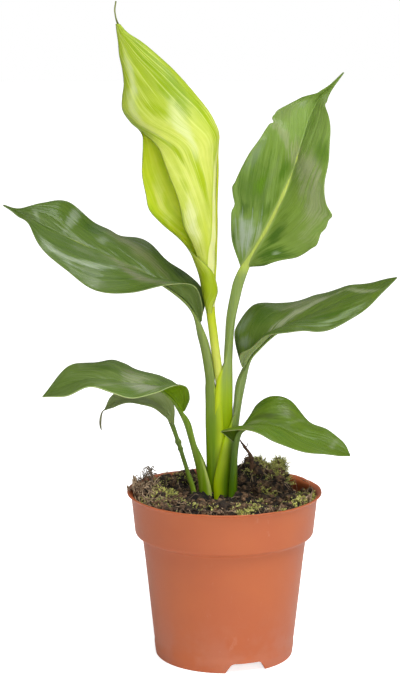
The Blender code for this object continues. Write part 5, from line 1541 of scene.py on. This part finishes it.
def build_leaves():
    """The seven leaves and the withered thread."""
    upper_stalk = stalk_finish("upper_left_stalk", (0.155, 0.280, 0.001), (0.240, 0.310, 0.085),
                               (0.43, 0.56, 0.012), (132, 186), wing_reach=7.5, wing_strength=0.9)
    right_stalk = stalk_finish("upper_right_stalk", (0.300, 0.440, 0.003), (0.245, 0.330, 0.100),
                               (0.52, 0.63, 0.012), (158, 186), (0.46, 0.56, 0.11), (235, 243),
                               wing_reach=5.5, wing_strength=0.9)
    mid_stalk = stalk_finish("mid_right_stalk", (0.075, 0.170, 0.001), (0.240, 0.325, 0.095),
                             (0.40, 0.54, 0.001), (118, 158), wing_reach=7.0, wing_strength=0.9)
    low_stalk = stalk_finish("low_stalk", (0.230, 0.400, 0.004), (0.140, 0.230, 0.012),
                             (0.50, 0.60, 0.14), (95, 135), wing_reach=3.0, wing_strength=0.9)
    small_stalk = stalk_finish("small_stalk", (0.230, 0.370, 0.015), (0.120, 0.190, 0.030),
                               (0.42, 0.53, 0.12), (95, 130))
    plans = (("upper_left_leaf", 1.0, upper_stalk), ("upper_right_leaf", 2.0, right_stalk),
             ("mid_right_leaf", 3.0, mid_stalk), ("lower_left_leaf", 4.0, low_stalk),
             ("lower_left_small_leaf", 5.0, small_stalk), ("lower_right_leaf", 6.0, mid_stalk))
    for name, seed, stalk in plans:
        open_leaf(name, seed * 17.0, leaf_materials(name, seed, stalk))
    young_stalk = stalk_finish("young_stalk", (0.62, 0.67, 0.11), (0.50, 0.59, 0.012), (0.66, 0.72, 0.12),
                               (182, 214), (0.11, 0.14, 0.03), (368, 385), 3.0, 0.3)
    outer = young_face("young_outer", YOUNG_DEEP, (0.71, 0.77, 0.16), (0.27, 0.39, 0.012), (0.84, 0.87, 0.36),
                       (0.20, 0.27, 0.03), 2.0, 6.6, YOUNG_TOUCHES, 0.55)
    inner = young_face("young_inner", (0.54, 0.70, 0.004), (0.78, 0.88, 0.06), (0.58, 0.74, 0.04),
                       (0.85, 0.92, 0.12), (0.70, 0.80, 0.12), 8.0, 2.0, FLAP_TOUCHES, 0.6, 0.7)
    rim = plain_rim("young_rim", (0.30, 0.40, 0.06))
    rolled_leaf([outer, inner, rim, young_stalk])
    dried_tip(earthy("dried_tip", (0.10, 0.10, 0.04), (0.24, 0.24, 0.12), 500.0, 0.8, 0.1))


def build_ground():
    """The pot, the soil and all that lies on it."""
    nursery_pot(pot_plastic())
    # the peat's damp patches are its own colour; its hollows get painted shade
    potting_soil(earthy("damp_peat_painted_hollow_shade", (0.010, 0.006, 0.004), (0.150, 0.090, 0.046), 420.0,
                        hollows=True, damp=True))
    clod = earthy("peat_clod", (0.012, 0.007, 0.004), (0.24, 0.142, 0.074), 420.0, damp=True)
    crumbly = earthy("peat_crumb", (0.014, 0.008, 0.005), (0.36, 0.225, 0.125), 420.0, damp=True)
    bark = earthy("bark", (0.06, 0.030, 0.014), (0.34, 0.20, 0.11), 260.0)
    scatter("peat_clods", 3, 330, (1.2, 3.2), clod, 53.0, 0.15, 0.1, 3)
    scatter("peat_crumbs", 13, 900, (0.5, 1.5), crumbly)
    scatter("bark_bits", 4, 260, (0.6, 1.7), bark)
    fibre = earthy("dry_fibre", (0.16, 0.10, 0.055), (0.58, 0.42, 0.27), 300.0, 0.85, 0.1)
    dark_fibre = earthy("dark_fibre", (0.02, 0.011, 0.006), (0.14, 0.085, 0.050), 300.0, 0.9, 0.1)
    root_tangle("fibrous_roots", 23, fibre, ROOTS)
    root_tangle("dark_roots", 29, dark_fibre, DARK_ROOTS)
    curled_sprig(earthy("dry_sprig", (0.09, 0.062, 0.040), (0.34, 0.26, 0.19), 300.0, 0.9, 0.1))
    straw_bits(earthy("straw", (0.42, 0.28, 0.16), (0.62, 0.46, 0.30), 300.0, 0.7, 0.1))
    dead_root(earthy("dead_root_bark", (0.05, 0.025, 0.012), (0.17, 0.085, 0.045), 400.0))
    moss_patch("moss_bright", 7, BRIGHT_MOSS,
               moss_finish("bright_moss", (0.07, 0.085, 0.008), (0.86, 0.86, 0.24)))
    moss_patch("moss_dull", 8, DULL_MOSS, moss_finish("dull_moss", (0.026, 0.032, 0.007), (0.58, 0.58, 0.17)))
    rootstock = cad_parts["crown"].data.materials
    rootstock.clear()
    rootstock.append(earthy("fleshy_rootstock", (0.45, 0.36, 0.22), (0.66, 0.56, 0.38), 120.0, 0.6, 0.1))


# The studio

WHITE = (1.0, 1.0, 1.0)
FLOOR_GREY = (0.95, 0.95, 0.95)
FLOOR_R = 12.0            # metres
WORLD_LIGHT = 0.235
SKY_LIGHT = 1.0
SKY_PLACE = (0.25, -0.35, 1.0)
# Softboxes: name, place, side, power
SOFTBOXES = (("front_right", (0.50, -0.60, 1.31), 0.55, 8.0), ("behind", (0.22, 0.80, 1.25), 0.60, 1.4),
             ("left", (-0.96, 0.05, 1.10), 0.50, 0.6), ("front", (0.30, -1.30, 0.50), 0.70, 6.0))
LIT_PLACE = (0.0, 0.0, 0.22)
CAMERA_PLACE = (AXIS_X - 0.015, -1.1, 0.385)
CAMERA_PITCH = 9.607      # degrees below level
SENSOR = 36.0
FOCAL_PX = 1832.6         # focal length, in pixels of the photograph
FRAME_TALL_PX = 675


def camera_ray(g):
    """1 for what the camera sees itself and 0 for all other light."""
    return g.node("ShaderNodeLightPath").outputs["Is Camera Ray"]


def build_floor():
    """A pale floor that the camera sees as part of the white background."""
    bm = bmesh.new()
    bmesh.ops.create_circle(bm, cap_ends=True, segments=96, radius=FLOOR_R)
    mesh = bpy.data.meshes.new("floor")
    bm.to_mesh(mesh)
    bm.free()
    material, g, shader = new_material("pale_floor")
    g.fill(shader, Base_Color=FLOOR_GREY, Roughness=0.95, Specular_IOR_Level=0.0, Emission_Color=WHITE,
           Emission_Strength=g.math("MULTIPLY_ADD", camera_ray(g), 0.70, 0.06))
    mesh.materials.append(material)
    linked(bpy.data.objects.new("floor", mesh))


def build_world():
    """A white background for the camera and a softer light from all round."""
    world = bpy.data.worlds.new("studio")
    world.use_nodes = True
    g = Graph(world.node_tree)
    seen = world.node_tree.nodes["Background"]
    soft = g.node("ShaderNodeBackground")
    g.fill(seen, Color=WHITE, Strength=1.0)
    g.fill(soft, Color=WHITE, Strength=WORLD_LIGHT)
    either = g.node("ShaderNodeMixShader")
    for socket, value in zip(either.inputs, (camera_ray(g), soft.outputs[0], seen.outputs[0])):
        g.put(socket, value)
    g.put(world.node_tree.nodes["World Output"].inputs["Surface"], either.outputs[0])
    bpy.context.scene.world = world


def aimed(name, light, place, target):
    """A light at a place, turned to a target."""
    ob = linked(bpy.data.objects.new(name, light))
    ob.location = place
    ob.rotation_euler = (Vector(target) - Vector(place)).to_track_quat("-Z", "Y").to_euler()


def build_lights():
    """A broad skylight and four softboxes round the plant."""
    sun = bpy.data.lights.new("skylight", "SUN")
    sun.angle = math.radians(50)
    sun.energy = SKY_LIGHT
    aimed("skylight", sun, SKY_PLACE, (0.0, 0.0, 0.0))
    for name, place, size, power in SOFTBOXES:
        light = bpy.data.lights.new(name, "AREA")
        light.shape = "SQUARE"
        light.size = size
        light.energy = power
        aimed(name, light, place, LIT_PLACE)


def build_camera():
    """The camera where the photograph was taken from."""
    lens = bpy.data.cameras.new("camera")
    lens.sensor_width = SENSOR
    lens.lens = FOCAL_PX / FRAME_TALL_PX * SENSOR
    ob = linked(bpy.data.objects.new("camera", lens))
    ob.location = CAMERA_PLACE
    ob.rotation_euler = (math.radians(90.0 - CAMERA_PITCH), 0.0, 0.0)
    bpy.context.scene.camera = ob
    bpy.context.scene.view_settings.view_transform = "Standard"


build_leaves()
build_ground()
build_floor()
build_world()
build_lights()
build_camera()
